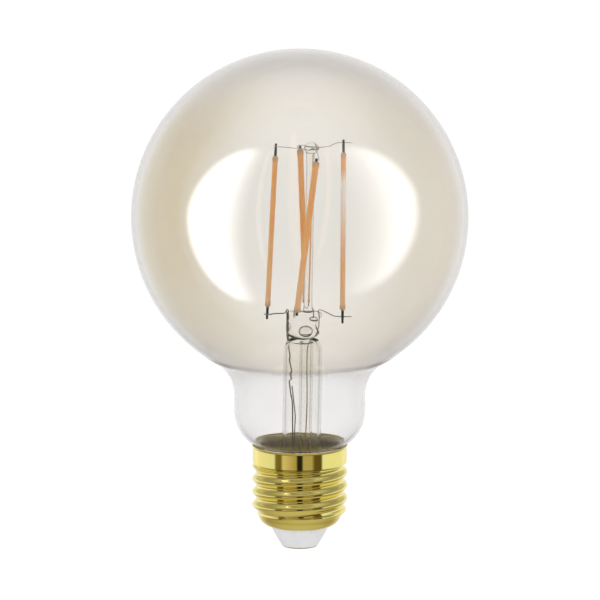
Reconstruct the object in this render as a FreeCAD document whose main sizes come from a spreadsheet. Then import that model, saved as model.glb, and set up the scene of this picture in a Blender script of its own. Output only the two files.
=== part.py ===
import FreeCAD, Part
import math
import os

import Sketcher
from FreeCAD import Placement, Rotation, Vector

# A clear globe lamp with four LED filaments on a glass stem, a brass screw cap, and a small driver with a
# radio board inside the cap. The frame stands on the tip of the centre contact, with +Z along the lamp.

DIMENSIONS = [
    # glass envelope: ball, concave blend, straight neck, rounded shoulder, narrow neck end
    ("globe_diameter", 95.0),
    ("globe_centre_height", 94.5),
    ("glass_wall", 0.9),
    ("blend_radius", 12.0),
    ("neck_radius", 18.45),
    ("shoulder_radius", 11.5),
    ("shoulder_height", 39.3),
    ("neck_end_radius", 11.5),
    ("neck_end_fillet", 1.5),
    ("neck_end_height", 20.4),
    # glass stem: flared tube, pinched press, exhaust tube, rod and bead
    ("stem_offset", 0.5),
    ("flare_rim_radius", 11.0),
    ("flare_rim_height", 19.4),
    ("flare_top_height", 31.0),
    ("flare_clearance", 0.1),
    ("stem_tube_radius", 5.45),
    ("stem_wall", 0.9),
    ("stem_shoulder_height", 55.5),
    ("stem_shoulder_curve", 5.5),
    ("stem_roof_radius", 4.6),
    ("press_bottom_height", 59.3),
    ("press_top_height", 67.7),
    ("press_offset", 0.8),
    ("press_width", 9.8),
    ("press_thickness", 3.4),
    ("press_corner", 0.8),
    ("exhaust_offset", 1.5),
    ("exhaust_depth", 1.1),
    ("exhaust_radius", 1.9),
    ("exhaust_wall", 0.7),
    ("exhaust_tip_height", 17.0),
    ("exhaust_hole_radius", 1.4),
    ("exhaust_hole_height", 61.6),
    ("rod_radius", 1.2),
    ("rod_foot_offset", 2.0),
    ("rod_head_offset", 3.1),
    ("bead_radius", 2.2),
    ("bead_bottom_height", 112.8),
    ("bead_top_height", 116.2),
    # filaments: a strip with LED chips in a silicone coat, and a metal pin at each end
    ("strip_width", 0.9),
    ("strip_thickness", 0.4),
    ("strip_overhang", 0.6),
    ("chip_length", 0.9),
    ("chip_width", 0.5),
    ("chip_thickness", 0.12),
    ("chip_pitch", 1.65),
    ("coat_width", 1.6),
    ("coat_thickness", 1.4),
    ("coat_corner", 0.55),
    ("pin_width", 0.75),
    ("pin_thickness", 0.25),
    ("pin_length", 3.1),
    ("coat_length", 44.6),
    # where each filament's coat ends, bottom and top
    ("left_foot_x", -9.1),
    ("left_foot_y", 3.5),
    ("left_head_x", -6.85),
    ("left_head_y", -1.7),
    ("right_foot_x", 12.05),
    ("right_foot_y", -1.8),
    ("right_head_x", 12.3),
    ("right_head_y", 4.5),
    ("front_foot_x", -0.8),
    ("front_foot_y", -4.8),
    ("front_head_x", 4.6),
    ("front_head_y", -9.5),
    ("rear_foot_x", 1.75),
    ("rear_foot_y", 8.0),
    ("rear_head_x", 0.1),
    ("rear_head_y", 8.0),
    ("coat_foot_height", 68.1),
    # wires
    ("lead_radius", 0.3),
    ("support_radius", 0.2),
    ("wire_gap", 0.05),
    ("hub_height", 114.2),
    ("hub_wire_spread", 0.7),
    ("lead_foot_height", 14.05),
    ("lead_left_offset", -3.4),
    ("lead_right_offset", 4.9),
    # screw cap: thin brass sheet with a rolled thread
    ("thread_crest_radius", 13.2),
    ("thread_root_radius", 12.15),
    ("thread_pitch", 3.629),
    ("thread_phase_height", 20.95),
    ("thread_low_end", 8.9),
    ("thread_high_end", 22.9),
    ("thread_fade", 1.5),
    ("cap_sheet", 0.3),
    ("cap_floor_height", 5.9),
    ("cap_floor_radius", 8.1),
    ("cap_wall_radius", 11.5),
    ("collar_low_height", 24.1),
    ("collar_radius", 13.15),
    ("collar_corner", 0.6),
    ("lip_radius", 13.4),
    ("lip_height", 29.3),
    # insulator, contact and cement
    ("insulator_flange_radius", 9.1),
    ("insulator_flange_bottom", 6.6),
    ("insulator_flange_top", 7.8),
    ("insulator_root_radius", 7.75),
    ("insulator_tip_radius", 5.0),
    ("insulator_tip_height", 0.9),
    ("insulator_bulge", 14.0),
    ("insulator_bore", 0.7),
    ("contact_radius", 4.75),
    ("contact_edge_height", 0.45),
    ("contact_tip_radius", 1.6),
    ("contact_tip_height", 0.2),
    ("solder_radius", 1.1),
    ("cement_inner_top", 27.8),
    ("cement_bottom", 24.6),
    ("cement_radius", 12.7),
    # driver in the cap
    ("board_radius", 10.6),
    ("board_height", 13.0),
    ("board_thickness", 1.0),
    ("sleeve_radius", 11.15),
    ("sleeve_wall", 0.4),
    ("sleeve_bottom", 9.8),
    ("sleeve_top", 19.2),
    ("capacitor_radius", 2.4),
    ("capacitor_length", 11.0),
    ("capacitor_vent", 0.3),
    ("resistor_radius", 1.1),
    ("resistor_length", 6.5),
    ("drum_radius", 2.5),
    ("drum_height", 4.2),
    ("drum_core_radius", 1.2),
    ("drum_plate", 0.7),
    ("package_bevel", 0.2),
    ("radio_board_width", 9.0),
    ("radio_board_thickness", 0.8),
    ("radio_board_height", 4.6),
    ("radio_board_offset", 8.0),
    ("radio_shield_width", 5.6),
    ("radio_shield_thickness", 1.2),
    ("radio_shield_height", 3.6),
    ("radio_shield_offset", 7.0),
    ("radio_shield_rise", 0.6),
    ("chip_resistor_length", 1.6),
    ("chip_resistor_width", 0.8),
    ("chip_resistor_height", 0.45),
    ("chip_resistor_pitch", 2.4),
    ("chip_capacitor_length", 1.6),
    ("chip_capacitor_width", 0.8),
    ("chip_capacitor_pitch", 1.7),
    ("antenna_radius", 0.15),
    ("antenna_tip_height", 47.5),
    ("driver_wire_radius", 0.3),
    ("solder_pad_radius", 0.7),
    ("solder_pad_height", 0.4),
]

document = FreeCAD.newDocument("globe_lamp")
sheet = document.addObject("Spreadsheet::Sheet", "sizes")
for line_number, (alias, amount) in enumerate(DIMENSIONS, start=1):
    sheet.set(f"A{line_number}", alias)
    sheet.set(f"B{line_number}", str(amount))
    sheet.setAlias(f"B{line_number}", alias)
document.recompute()

FULL_TURN = 360.0
SUB_PARTS = []


class Size:
    """A length that carries both its value and the sheet expression it comes from."""

    def __init__(self, value, text):
        self.value = float(value)
        self.text = text

    @staticmethod
    def of(item):
        return item if isinstance(item, Size) else Size(item, f"({item})")

    def __add__(self, other):
        other = Size.of(other)
        return Size(self.value + other.value, f"({self.text} + {other.text})")

    def __sub__(self, other):
        other = Size.of(other)
        return Size(self.value - other.value, f"({self.text} - {other.text})")

    def __mul__(self, other):
        other = Size.of(other)
        return Size(self.value * other.value, f"({self.text} * {other.text})")

    def __truediv__(self, other):
        other = Size.of(other)
        return Size(self.value / other.value, f"({self.text} / {other.text})")

    def __neg__(self):
        return Size(-self.value, f"(0 - {self.text})")

    def root(self):
        return Size(math.sqrt(self.value), f"sqrt({self.text})")


def size(alias):
    """The driving dimension with this alias."""
    return Size(sheet.get(alias), f"sizes.{alias}")


def number(alias):
    """The plain value of a driving dimension, for shapes that a sketch can't hold."""
    return size(alias).value


def keep(piece, label):
    """Name a finished sub-part and put it on the list of files to write."""
    piece.Label = label
    SUB_PARTS.append(piece)
    return piece


def origin_plane(body, role):
    return next(feature for feature in body.Origin.OriginFeatures if feature.Role == role)


def bind(sketch, constraint_name, kind, geometry, end, amount):
    """Hold one coordinate of a point at a sheet expression; a zero puts the point on the axis instead."""
    if amount.value == 0.0:
        axis = -2 if kind == "DistanceX" else -1
        sketch.addConstraint(Sketcher.Constraint("PointOnObject", geometry, end, axis))
        return
    index = sketch.addConstraint(Sketcher.Constraint(kind, geometry, end, amount.value))
    sketch.renameConstraint(index, constraint_name)
    sketch.setExpression(f"Constraints.{constraint_name}", amount.text)


def arc_middle(start, finish, radius, side):
    """The middle of the short arc between two points; side +1 turns left on the way, -1 turns right."""
    chord = finish - start
    left = Vector(-chord.y, chord.x, 0).normalize()
    half = chord.Length / 2
    reach = math.sqrt(max(radius * radius - half * half, 0.0))
    centre = (start + finish) / 2 + left * (side * reach)
    return centre - left * (side * radius)


def outline(sketch, corners, prefix="p"):
    """Close an outline through (x, y) corners; (x, y, radius, side) comes to its corner along an arc."""
    corners = [tuple(Size.of(item) for item in corner[:3]) + tuple(corner[3:]) for corner in corners]
    pieces = []
    for index, corner in enumerate(corners):
        before = corners[index - 1]
        start = Vector(before[0].value, before[1].value, 0)
        finish = Vector(corner[0].value, corner[1].value, 0)
        if len(corner) == 2:
            geometry = sketch.addGeometry(Part.LineSegment(start, finish))
            pieces.append((geometry, 1, 2))
            continue
        radius, side = corner[2], corner[3]
        middle = arc_middle(start, finish, radius.value, side)
        first, last = (start, finish) if side > 0 else (finish, start)
        geometry = sketch.addGeometry(Part.Arc(first, middle, last))
        pieces.append((geometry, 1, 2) if side > 0 else (geometry, 2, 1))
        name = f"{prefix}_radius_{index}"
        constraint = sketch.addConstraint(Sketcher.Constraint("Radius", geometry, radius.value))
        sketch.renameConstraint(constraint, name)
        sketch.setExpression(f"Constraints.{name}", radius.text)
    for index, corner in enumerate(corners):
        geometry, _, end = pieces[index]
        following, begin, _ = pieces[(index + 1) % len(pieces)]
        sketch.addConstraint(Sketcher.Constraint("Coincident", geometry, end, following, begin))
        bind(sketch, f"{prefix}_across_{index}", "DistanceX", geometry, end, corner[0])
        bind(sketch, f"{prefix}_up_{index}", "DistanceY", geometry, end, corner[1])


def new_sketch(body, name, role):
    sketch = body.newObject("Sketcher::SketchObject", name)
    sketch.AttachmentSupport = [(origin_plane(body, role), "")]
    sketch.MapMode = "FlatFace"
    return sketch


def revolved(name, corners):
    """A body of revolution about its own Z axis; corners are (radius, height)."""
    body = document.addObject("PartDesign::Body", f"{name}_body")
    sketch = new_sketch(body, f"{name}_profile", "XZ_Plane")
    outline(sketch, corners)
    turn = body.newObject("PartDesign::Revolution", f"{name}_turn")
    turn.Profile = sketch
    turn.ReferenceAxis = (sketch, ["V_Axis"])
    turn.Angle = FULL_TURN
    return body


def turned(label, corners):
    """A body of revolution that is a sub-part as it stands."""
    return keep(revolved(label, corners), label)


def ring_profile(outer, inner, low, high):
    """The section of a plain tube; an inner radius of zero makes a disc."""
    return [(inner, low), (outer, low), (outer, high), (inner, high)]


def padded(label, corners, height):
    """A body that rises straight up from an outline on its own XY plane."""
    body = document.addObject("PartDesign::Body", f"{label}_body")
    sketch = new_sketch(body, f"{label}_outline", "XY_Plane")
    outline(sketch, corners)
    pad = body.newObject("PartDesign::Pad", f"{label}_pad")
    pad.Profile = sketch
    pad.setExpression("Length", Size.of(height).text)
    return body


def rounded_rectangle(width, depth, corner):
    """A rectangle about the origin with quarter-round corners."""
    half_width, half_depth = width / 2, depth / 2
    flat_width, flat_depth = half_width - corner, half_depth - corner
    return [(half_width, flat_depth), (flat_width, half_depth, corner, 1),
            (-flat_width, half_depth), (-half_width, flat_depth, corner, 1),
            (-half_width, -flat_depth), (-flat_width, -half_depth, corner, 1),
            (flat_width, -half_depth), (half_width, -flat_depth, corner, 1)]


def block(name, extent, centre, foot):
    """A plain box, (width, depth, height), centred on (x, y) and standing at a height."""
    box = document.addObject("Part::Box", name)
    for side_name, length in zip(("Length", "Width", "Height"), extent):
        box.setExpression(side_name, Size.of(length).text)
    box.Placement.Base = Vector(centre[0] - Size.of(extent[0]).value / 2,
                                centre[1] - Size.of(extent[1]).value / 2, foot)
    return box


def rod(name, radius, length, base, direction=Vector(0, 0, 1)):
    """A plain cylinder from a point along a direction."""
    cylinder = document.addObject("Part::Cylinder", name)
    cylinder.setExpression("Radius", Size.of(radius).text)
    cylinder.setExpression("Height", Size.of(length).text)
    cylinder.Placement = Placement(base, Rotation(Vector(0, 0, 1), direction))
    return cylinder


def grouped(label, members):
    """Several separate solids in one node."""
    group = document.addObject("Part::Compound", f"{label}_group")
    group.Links = members
    return keep(group, label)


def cut_by(label, base, tools):
    """A sub-part with the room that other pieces take cut out of it."""
    tool = tools[0]
    if len(tools) > 1:
        tool = document.addObject("Part::MultiFuse", f"{label}_room")
        tool.Shapes = tools
    cut = document.addObject("Part::Cut", f"{label}_cut")
    cut.Base = base
    cut.Tool = tool
    return keep(cut, label)


LONGEST_SETBACK = 0.45


def bent_path(points, bend):
    """Straight runs joined by tangent arcs; a bend shrinks where its runs are too short for it."""
    edges = []
    start = points[0]
    for before, corner, after in zip(points, points[1:], points[2:]):
        inward = (before - corner).normalize()
        outward = (after - corner).normalize()
        half_turn = (math.pi - inward.getAngle(outward)) / 2
        shortest = min((before - corner).Length, (after - corner).Length)
        setback = min(bend * math.tan(half_turn), LONGEST_SETBACK * shortest)
        arc_radius = setback / math.tan(half_turn)
        arc_start = corner + inward * setback
        arc_end = corner + outward * setback
        bisector = (inward + outward).normalize()
        centre_distance = arc_radius / math.cos(half_turn)
        middle = corner + bisector * (centre_distance - arc_radius)
        edges.append(Part.LineSegment(start, arc_start).toShape())
        edges.append(Part.Arc(arc_start, middle, arc_end).toShape())
        start = arc_end
    edges.append(Part.LineSegment(start, points[-1]).toShape())
    return Part.Wire(edges)


def wire_shape(points, radius, bend):
    """A round wire swept along a bent path."""
    path = bent_path(points, bend)
    end_circle = Part.Circle(points[0], points[1] - points[0], radius)
    section = Part.Wire(end_circle.toShape())
    return path.makePipeShell([section], True, False)


def wire(label, points, radius, bend=1.0):
    """One bent wire as a sub-part."""
    feature = document.addObject("Part::Feature", f"{label}_wire")
    feature.Shape = wire_shape(points, radius, bend)
    feature.Placement = Placement()
    return keep(feature, label)


# ---- glass envelope: one blown wall from the ball down to the narrow neck end ----

def envelope_corners(wall):
    """Corners of one face of the glass; the arcs keep their centres and change radius by the wall."""
    ball = size("globe_diameter") / 2 - wall
    blend = size("blend_radius") + wall
    neck = size("neck_radius") - wall
    shoulder = size("shoulder_radius") - wall
    fillet = size("neck_end_fillet") + wall
    end = size("neck_end_radius") - wall
    centre = size("globe_centre_height")
    blend_across = size("neck_radius") + size("blend_radius")
    reach = ball + blend
    drop = (reach * reach - blend_across * blend_across).root()
    shoulder_across = size("neck_radius") - size("shoulder_radius")
    fillet_across = size("neck_end_radius") + size("neck_end_fillet")
    span = shoulder + fillet
    fillet_drop = (span * span - (fillet_across - shoulder_across) * (fillet_across - shoulder_across)).root()
    return {
        "end": (end, size("neck_end_height")),
        "end_top": (end, size("shoulder_height") - fillet_drop),
        "fillet": (shoulder_across + (fillet_across - shoulder_across) * shoulder / span,
                   size("shoulder_height") - fillet_drop * shoulder / span, fillet),
        "shoulder": (neck, size("shoulder_height"), shoulder),
        "neck": (neck, centre - drop),
        "blend": (blend_across * ball / reach, centre - drop * ball / reach, blend),
        "top": (Size.of(0), centre + ball, ball),
    }


outer = envelope_corners(Size.of(0))
inner = envelope_corners(size("glass_wall"))
turned("glass_globe", [
    outer["end"],
    outer["end_top"],
    outer["fillet"] + (-1,),
    outer["shoulder"] + (1,),
    outer["neck"],
    outer["blend"] + (-1,),
    outer["top"] + (1,),
    inner["top"][:2],
    inner["blend"][:2] + (inner["top"][2], -1),
    inner["neck"][:2] + (inner["blend"][2], 1),
    inner["shoulder"][:2],
    inner["fillet"][:2] + (inner["shoulder"][2], -1),
    inner["end_top"][:2] + (inner["fillet"][2], 1),
    inner["end"],
])

# ---- glass stem: flared tube, exhaust tube, press, rod and bead ----

tube = size("stem_tube_radius")
wall = size("stem_wall")
shoulder = size("stem_shoulder_height")
press_foot = size("press_bottom_height")
roof_radius = size("stem_roof_radius")


def flare_radius(run, rise):
    """Radius of an arc that leaves a vertical tube and reaches this far out over this rise."""
    return (run * run + rise * rise) / (run * 2)


flare_out = size("neck_end_radius") - size("glass_wall") - size("stem_offset") - size("flare_clearance")
flare_in = size("flare_rim_radius") - wall
outer_curve = flare_radius(flare_out - tube, size("flare_top_height") - size("neck_end_height"))
inner_curve = flare_radius(flare_in - tube + wall, size("flare_top_height") - size("flare_rim_height"))
stem = revolved("stem_blank", [
    (size("flare_rim_radius"), size("flare_rim_height")),
    (size("flare_rim_radius"), size("neck_end_height")),
    (flare_out, size("neck_end_height")),
    (tube, size("flare_top_height"), outer_curve, -1),
    (tube, shoulder),
    (roof_radius, press_foot, size("stem_shoulder_curve"), 1),
    (Size.of(0), press_foot),
    (Size.of(0), press_foot - wall),
    (roof_radius - wall, press_foot - wall),
    (tube - wall, shoulder, size("stem_shoulder_curve") - wall, -1),
    (tube - wall, size("flare_top_height")),
    (flare_in, size("flare_rim_height"), inner_curve, 1),
])
stem.Placement.Base = Vector(number("stem_offset"), 0, 0)

exhaust_across = Vector(number("exhaust_offset"), number("exhaust_depth"), 0)
bore = size("exhaust_radius") - size("exhaust_wall")
exhaust_top = size("press_bottom_height")
exhaust_tip = size("exhaust_tip_height")
exhaust = turned("exhaust_tube", [
    (Size.of(0), exhaust_tip),
    (size("exhaust_radius"), exhaust_tip + size("exhaust_radius"), size("exhaust_radius"), 1),
    (size("exhaust_radius"), exhaust_top),
    (bore, exhaust_top),
    (bore, exhaust_tip + size("exhaust_radius")),
    (Size.of(0), exhaust_tip + size("exhaust_wall"), bore, -1),
])
exhaust.Placement.Base = exhaust_across

press_body = padded(
    "press_blank",
    rounded_rectangle(size("press_width"), size("press_thickness"), size("press_corner")),
    size("press_top_height") - press_foot)
press_body.Placement.Base = Vector(number("press_offset"), 0, number("press_bottom_height"))

rod_sections = []
for end_name, across, height in (("foot", "rod_foot_offset", "press_top_height"),
                                 ("head", "rod_head_offset", "bead_bottom_height")):
    circle = document.addObject("Part::Circle", f"rod_{end_name}")
    circle.setExpression("Radius", size("rod_radius").text)
    circle.Placement.Base = Vector(number(across), 0, number(height))
    rod_sections.append(circle)
glass_rod = document.addObject("Part::Loft", "glass_rod_loft")
glass_rod.Sections = rod_sections
glass_rod.Solid = True
keep(glass_rod, "glass_rod")

bead_rise = size("bead_top_height") - size("bead_bottom_height")
bead_side = size("bead_radius") - size("rod_radius")
bead_curve = (bead_side * bead_side + bead_rise * bead_rise / 4) / (bead_side * 2)
bead_body = revolved("bead_blank", [
    (Size.of(0), size("bead_bottom_height")),
    (size("rod_radius"), size("bead_bottom_height")),
    (size("rod_radius"), size("bead_top_height"), bead_curve, 1),
    (Size.of(0), size("bead_top_height")),
])
bead_body.Placement.Base = Vector(number("rod_head_offset"), 0, 0)

# ---- filaments: each is built upright at the origin, then stood between its two ends ----

FILAMENTS = ("left", "right", "front", "rear")


def filament_ends(side):
    """The bottom and top of a filament's coat; the top height follows from the coat's length."""
    foot = Vector(number(f"{side}_foot_x"), number(f"{side}_foot_y"), number("coat_foot_height"))
    head_x, head_y = number(f"{side}_head_x"), number(f"{side}_head_y")
    lean = math.hypot(head_x - foot.x, head_y - foot.y)
    rise = math.sqrt(number("coat_length") ** 2 - lean ** 2)
    return foot, Vector(head_x, head_y, foot.z + rise)


def filament_pieces(side):
    """Strip, chips, silicone coat and end pins of one filament."""
    foot, head = filament_ends(side)
    stand = Placement(foot, Rotation(Vector(0, 0, 1), head - foot))
    length = size("coat_length")
    strip_length = length - size("strip_overhang") * 2

    strip = block(f"strip_{side}", (size("strip_width"), size("strip_thickness"), strip_length),
                  (0, 0), number("strip_overhang"))
    strip.Placement = stand.multiply(strip.Placement)
    keep(strip, f"filament_{side}_strip")

    chip_count = int(strip_length.value // number("chip_pitch"))
    first_chip = number("strip_overhang") + (strip_length.value - (chip_count - 1) * number("chip_pitch")) / 2
    chips = []
    for index in range(chip_count):
        height = first_chip + index * number("chip_pitch") - number("chip_length") / 2
        middle = -(number("strip_thickness") + number("chip_thickness")) / 2
        chip = block(f"chip_{side}_{index}",
                     (size("chip_width"), size("chip_thickness"), size("chip_length")), (0, middle), height)
        chip.Placement = stand.multiply(chip.Placement)
        chips.append(chip)
    grouped(f"filament_{side}_chips", chips)

    coat_body = padded(
        f"coat_{side}",
        rounded_rectangle(size("coat_width"), size("coat_thickness"), size("coat_corner")), length)
    channel = new_sketch(coat_body, f"channel_{side}", "XY_Plane")
    half_width = size("strip_width") / 2
    back = size("strip_thickness") / 2
    front = -(back + size("chip_thickness"))
    outline(channel, [(half_width, front), (half_width, back), (-half_width, back), (-half_width, front)])
    pocket = coat_body.newObject("PartDesign::Pocket", f"channel_cut_{side}")
    pocket.Profile = channel
    pocket.Type = "ThroughAll"
    pocket.Reversed = True
    coat_body.Placement = stand
    keep(coat_body, f"filament_{side}_coat")

    pins = []
    for end_name, height in (("foot", -number("pin_length") + number("strip_overhang")),
                             ("head", number("coat_length") - number("strip_overhang"))):
        pin = block(f"pin_{side}_{end_name}",
                    (size("pin_width"), size("pin_thickness"), size("pin_length")), (0, 0), height)
        pin.Placement = stand.multiply(pin.Placement)
        pins.append(pin)
    grouped(f"filament_{side}_end_pins", pins)


for side in FILAMENTS:
    filament_pieces(side)

# ---- wires: two bridges through the bead, two leads through the press, and two short feeds ----

# how far out along its free pin each filament is welded to its wire
WELDS = {
    ("left", "head"): 0.72, ("right", "head"): 0.5, ("front", "head"): 0.45, ("rear", "head"): 0.75,
    ("left", "foot"): 0.5, ("right", "foot"): 0.6, ("front", "foot"): 0.55, ("rear", "foot"): 0.55,
}
pin_reach = number("pin_length") - number("strip_overhang")
support_clear = number("support_radius") + number("wire_gap")
lead_clear = number("lead_radius") + number("wire_gap")


def weld_point(side, end_name):
    """The point on the middle of a filament's pin where its wire is welded."""
    foot, head = filament_ends(side)
    outward = (head - foot).normalize() * (pin_reach * WELDS[side, end_name])
    return foot - outward if end_name == "foot" else head + outward


hub = Vector(number("rod_head_offset"), 0, number("hub_height"))
spread = Vector(0, number("hub_wire_spread"), 0)
past_face = Vector(0, number("pin_thickness") / 2 + support_clear, 0)
past_edge = Vector(number("pin_width") / 2 + support_clear, 0, 0)
lead_past_face = Vector(0, number("pin_thickness") / 2 + lead_clear, 0)

left_top = weld_point("left", "head") - past_face
front_top = weld_point("front", "head") + past_edge
wire("top_bridge_wire_front", [
    left_top + Vector(-0.8, 0, 0),
    left_top + Vector(1.2, 0, 0),
    hub - spread + Vector(-3.2, -0.4, 0.1),
    hub - spread + Vector(1.2, -0.1, 0),
    front_top + Vector(0.1, 1.6, 0.1),
    front_top + Vector(0.1, -1.1, 0),
], number("support_radius"))

rear_top = weld_point("rear", "head") - past_edge
right_top = weld_point("right", "head") + past_face
wire("top_bridge_wire_rear", [
    rear_top + Vector(0, 1.0, 0.1),
    rear_top + Vector(0, -1.4, 0),
    hub + spread + Vector(-1.0, 0.3, 0),
    hub + spread + Vector(2.6, 0, 0),
    right_top + Vector(-4.0, 0, 0),
    right_top + Vector(2.3, 0, 0),
], number("support_radius"))

press_top = number("press_top_height")
press_low = number("press_bottom_height")
lead_level = Vector(0, 0, number("lead_foot_height"))
left_joint = Vector(-1.9, -1.2, 0)
right_joint = Vector(1.7, -2.6, 0)

left_foot = weld_point("left", "foot") - lead_past_face
left_x = number("lead_left_offset")
wire("lead_wire_left", [
    left_joint + lead_level,
    Vector(-1.9, -1.2, 30.0),
    Vector(-2.1, -1.2, 42.0),
    Vector(-2.8, -0.9, 48.9),
    Vector(-2.3, -0.8, 50.6),
    Vector(-2.9, -0.5, 54.5),
    Vector(left_x + 0.8, 0, press_low - 0.9),
    Vector(left_x, 0, press_low + 1.4),
    Vector(left_x, 0, press_top + 0.5),
    Vector(left_x - 2.0, 0.6, press_top - 1.2),
    left_foot + Vector(1.6, 0, 0),
    left_foot + Vector(-0.9, 0, 0),
], number("lead_radius"))

right_foot = weld_point("right", "foot") + lead_past_face
right_x = number("lead_right_offset")
wire("lead_wire_right", [
    right_joint + lead_level,
    Vector(2.0, -2.4, 30.0),
    Vector(2.0, -2.2, 54.0),
    Vector(2.4, -1.4, press_low - 1.0),
    Vector(right_x, 0, press_low + 2.6),
    Vector(right_x, 0, press_top + 0.5),
    Vector(right_x + 2.6, 0, press_top - 0.3),
    right_foot + Vector(-2.4, 0, 0),
    right_foot + Vector(2.6, 0, 0),
], number("lead_radius"))

front_foot = weld_point("front", "foot") - past_edge
wire("feed_wire_front", [
    Vector(-1.6, -0.4, press_top - 1.9),
    Vector(-1.6, -0.4, press_top + 0.6),
    Vector(front_foot.x, -2.6, press_top - 0.6),
    front_foot + Vector(0, 0.9, 0),
    front_foot + Vector(0, -0.8, 0),
], number("support_radius"), 0.6)

rear_foot = weld_point("rear", "foot") + past_edge
wire("feed_wire_rear", [
    Vector(3.8, 0.7, press_top - 1.9),
    Vector(3.8, 0.7, press_top + 0.7),
    Vector(rear_foot.x + 0.2, 3.6, press_top - 0.4),
    rear_foot + Vector(0, -1.4, 0),
    rear_foot + Vector(0, 0.9, 0),
], number("support_radius"), 0.6)

by_label = {piece.Label: piece for piece in SUB_PARTS}
exhaust_bore = rod("press_exhaust_bore", bore, size("exhaust_hole_height") - press_foot,
                   exhaust_across + Vector(0, 0, press_low))
exhaust_hole = rod("press_exhaust_hole", size("exhaust_hole_radius"), size("press_thickness"),
                   exhaust_across + Vector(0, 0, number("exhaust_hole_height")), Vector(0, -1, 0))
cut_by("stem_press", press_body, [
    by_label["lead_wire_left"], by_label["lead_wire_right"],
    by_label["feed_wire_front"], by_label["feed_wire_rear"], exhaust_bore, exhaust_hole])
stem_exhaust_room = rod("stem_exhaust_room", size("exhaust_radius"), wall,
                        exhaust_across + Vector(0, 0, press_low - wall.value))
cut_by("stem_flare_tube", stem, [
    by_label["lead_wire_left"], by_label["lead_wire_right"], stem_exhaust_room])
cut_by("rod_bead", bead_body, [by_label["top_bridge_wire_front"], by_label["top_bridge_wire_rear"]])

# ---- brass cap: one thin sheet, spun and rolled; the thread is a smooth helical wave on its wall ----

ROWS_PER_MM = 4
CORNER_ROWS = 8
COLUMNS = 48
OVERLAP = 4
SEAM_TOLERANCE = 0.001


def collar_foot():
    """Height where the rolled part ends and the plain cylindrical collar begins."""
    return number("collar_low_height") + number("collar_corner") / 2


def cap_profile():
    """Radius and height along the plain sheet, without the thread, up to the foot of the collar."""
    floor_height, floor_radius = number("cap_floor_height"), number("cap_floor_radius")
    wall_radius, root = number("cap_wall_radius"), number("thread_root_radius")
    corner = wall_radius - floor_radius
    stations = []
    for step in range(CORNER_ROWS):
        angle = math.pi / 2 * step / CORNER_ROWS
        stations.append((floor_radius + corner * math.sin(angle),
                         floor_height + corner * (1 - math.cos(angle))))
    wall_foot = floor_height + corner
    rows = int((collar_foot() - wall_foot) * ROWS_PER_MM)
    for step in range(rows + 1):
        height = wall_foot + (collar_foot() - wall_foot) * step / rows
        radius = wall_radius + (root - wall_radius) * ease((height - wall_foot) / number("thread_fade"))
        collar_share = ease((height - number("collar_low_height")) / number("collar_corner") + 0.5)
        stations.append((radius + (number("collar_radius") - root) * collar_share, height))
    return stations


def ease(share):
    """A smooth step from 0 to 1."""
    share = min(max(share, 0.0), 1.0)
    return share * share * (3 - 2 * share)


def thread_height(height, angle):
    """How far the rolled thread stands out: a wave that climbs one pitch a turn and fades at its ends."""
    fade = ease((height - number("thread_low_end")) / number("thread_fade"))
    fade *= ease((number("thread_high_end") - height) / number("thread_fade"))
    turns = (height - number("thread_phase_height")) / number("thread_pitch") - angle / (2 * math.pi)
    wave = 0.5 + 0.5 * math.cos(2 * math.pi * turns)
    return (number("thread_crest_radius") - number("thread_root_radius")) * fade * wave


def cap_face(inset):
    """One face of the rolled sheet as a smooth surface through rings of points. The rings run past a full
    turn at both ends, and the surface is then cut back to one turn, so that its seam is smooth too."""
    grid = []
    for radius, height in cap_profile():
        ring = []
        for column in range(-OVERLAP, COLUMNS + OVERLAP + 1):
            angle = 2 * math.pi * column / COLUMNS
            reach = radius + thread_height(height, angle) - inset
            ring.append(Vector(reach * math.cos(angle), reach * math.sin(angle), height))
        grid.append(ring)
    surface = Part.BSplineSurface()
    surface.interpolate(grid)
    turn_knots = surface.getVKnots()
    low, high, _, _ = surface.bounds()
    surface.segment(low, high, turn_knots[OVERLAP], turn_knots[-1 - OVERLAP])
    return surface.toShape()


def boundary_ring(face, height):
    """The closed edge of a face that lies at a height."""
    rings = [edge for edge in face.Edges if edge.Vertexes[0].Point.isEqual(edge.Vertexes[-1].Point, 1e-4)]
    return min(rings, key=lambda edge: abs(edge.Vertexes[0].Z - height))


def closed_solid(faces):
    """A solid from faces that meet edge to edge."""
    shell = Part.makeShell(faces)
    shell.sewShape()
    solid = Part.makeSolid(shell)
    if solid.Volume < 0:
        solid.reverse()
    return solid


def rolled_sheet():
    """The sheet from the floor ring up to the collar's foot, closed by a flat ring at each end."""
    outside = cap_face(0.0)
    inside = cap_face(number("cap_sheet"))
    rings = [Part.makeRuledSurface(boundary_ring(outside, height), boundary_ring(inside, height))
             for height in (number("cap_floor_height"), collar_foot())]
    return closed_solid([outside, inside] + rings)


def collar_ring():
    """The plain cylindrical collar with its flared lip."""
    radius, lip, sheet_thickness = number("collar_radius"), number("lip_radius"), number("cap_sheet")
    top = number("lip_height")
    flare_foot = top - number("collar_corner")
    section = [(radius, collar_foot()), (radius, flare_foot), (lip, top), (lip - sheet_thickness, top),
               (radius - sheet_thickness, flare_foot), (radius - sheet_thickness, collar_foot()),
               (radius, collar_foot())]
    profile = Part.Face(Part.makePolygon([Vector(across, 0, height) for across, height in section]))
    ring = profile.revolve(Vector(0, 0, 0), Vector(0, 0, 1), FULL_TURN)
    if ring.Volume < 0:
        ring.reverse()
    return ring


cap = document.addObject("Part::Feature", "cap_sheet_surface")
cap.Shape = rolled_sheet().fuse([collar_ring()], SEAM_TOLERANCE)
cap.Placement = Placement()
keep(cap, "cap_shell")

# ---- insulator, centre contact, solder tip and basing cement ----

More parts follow.
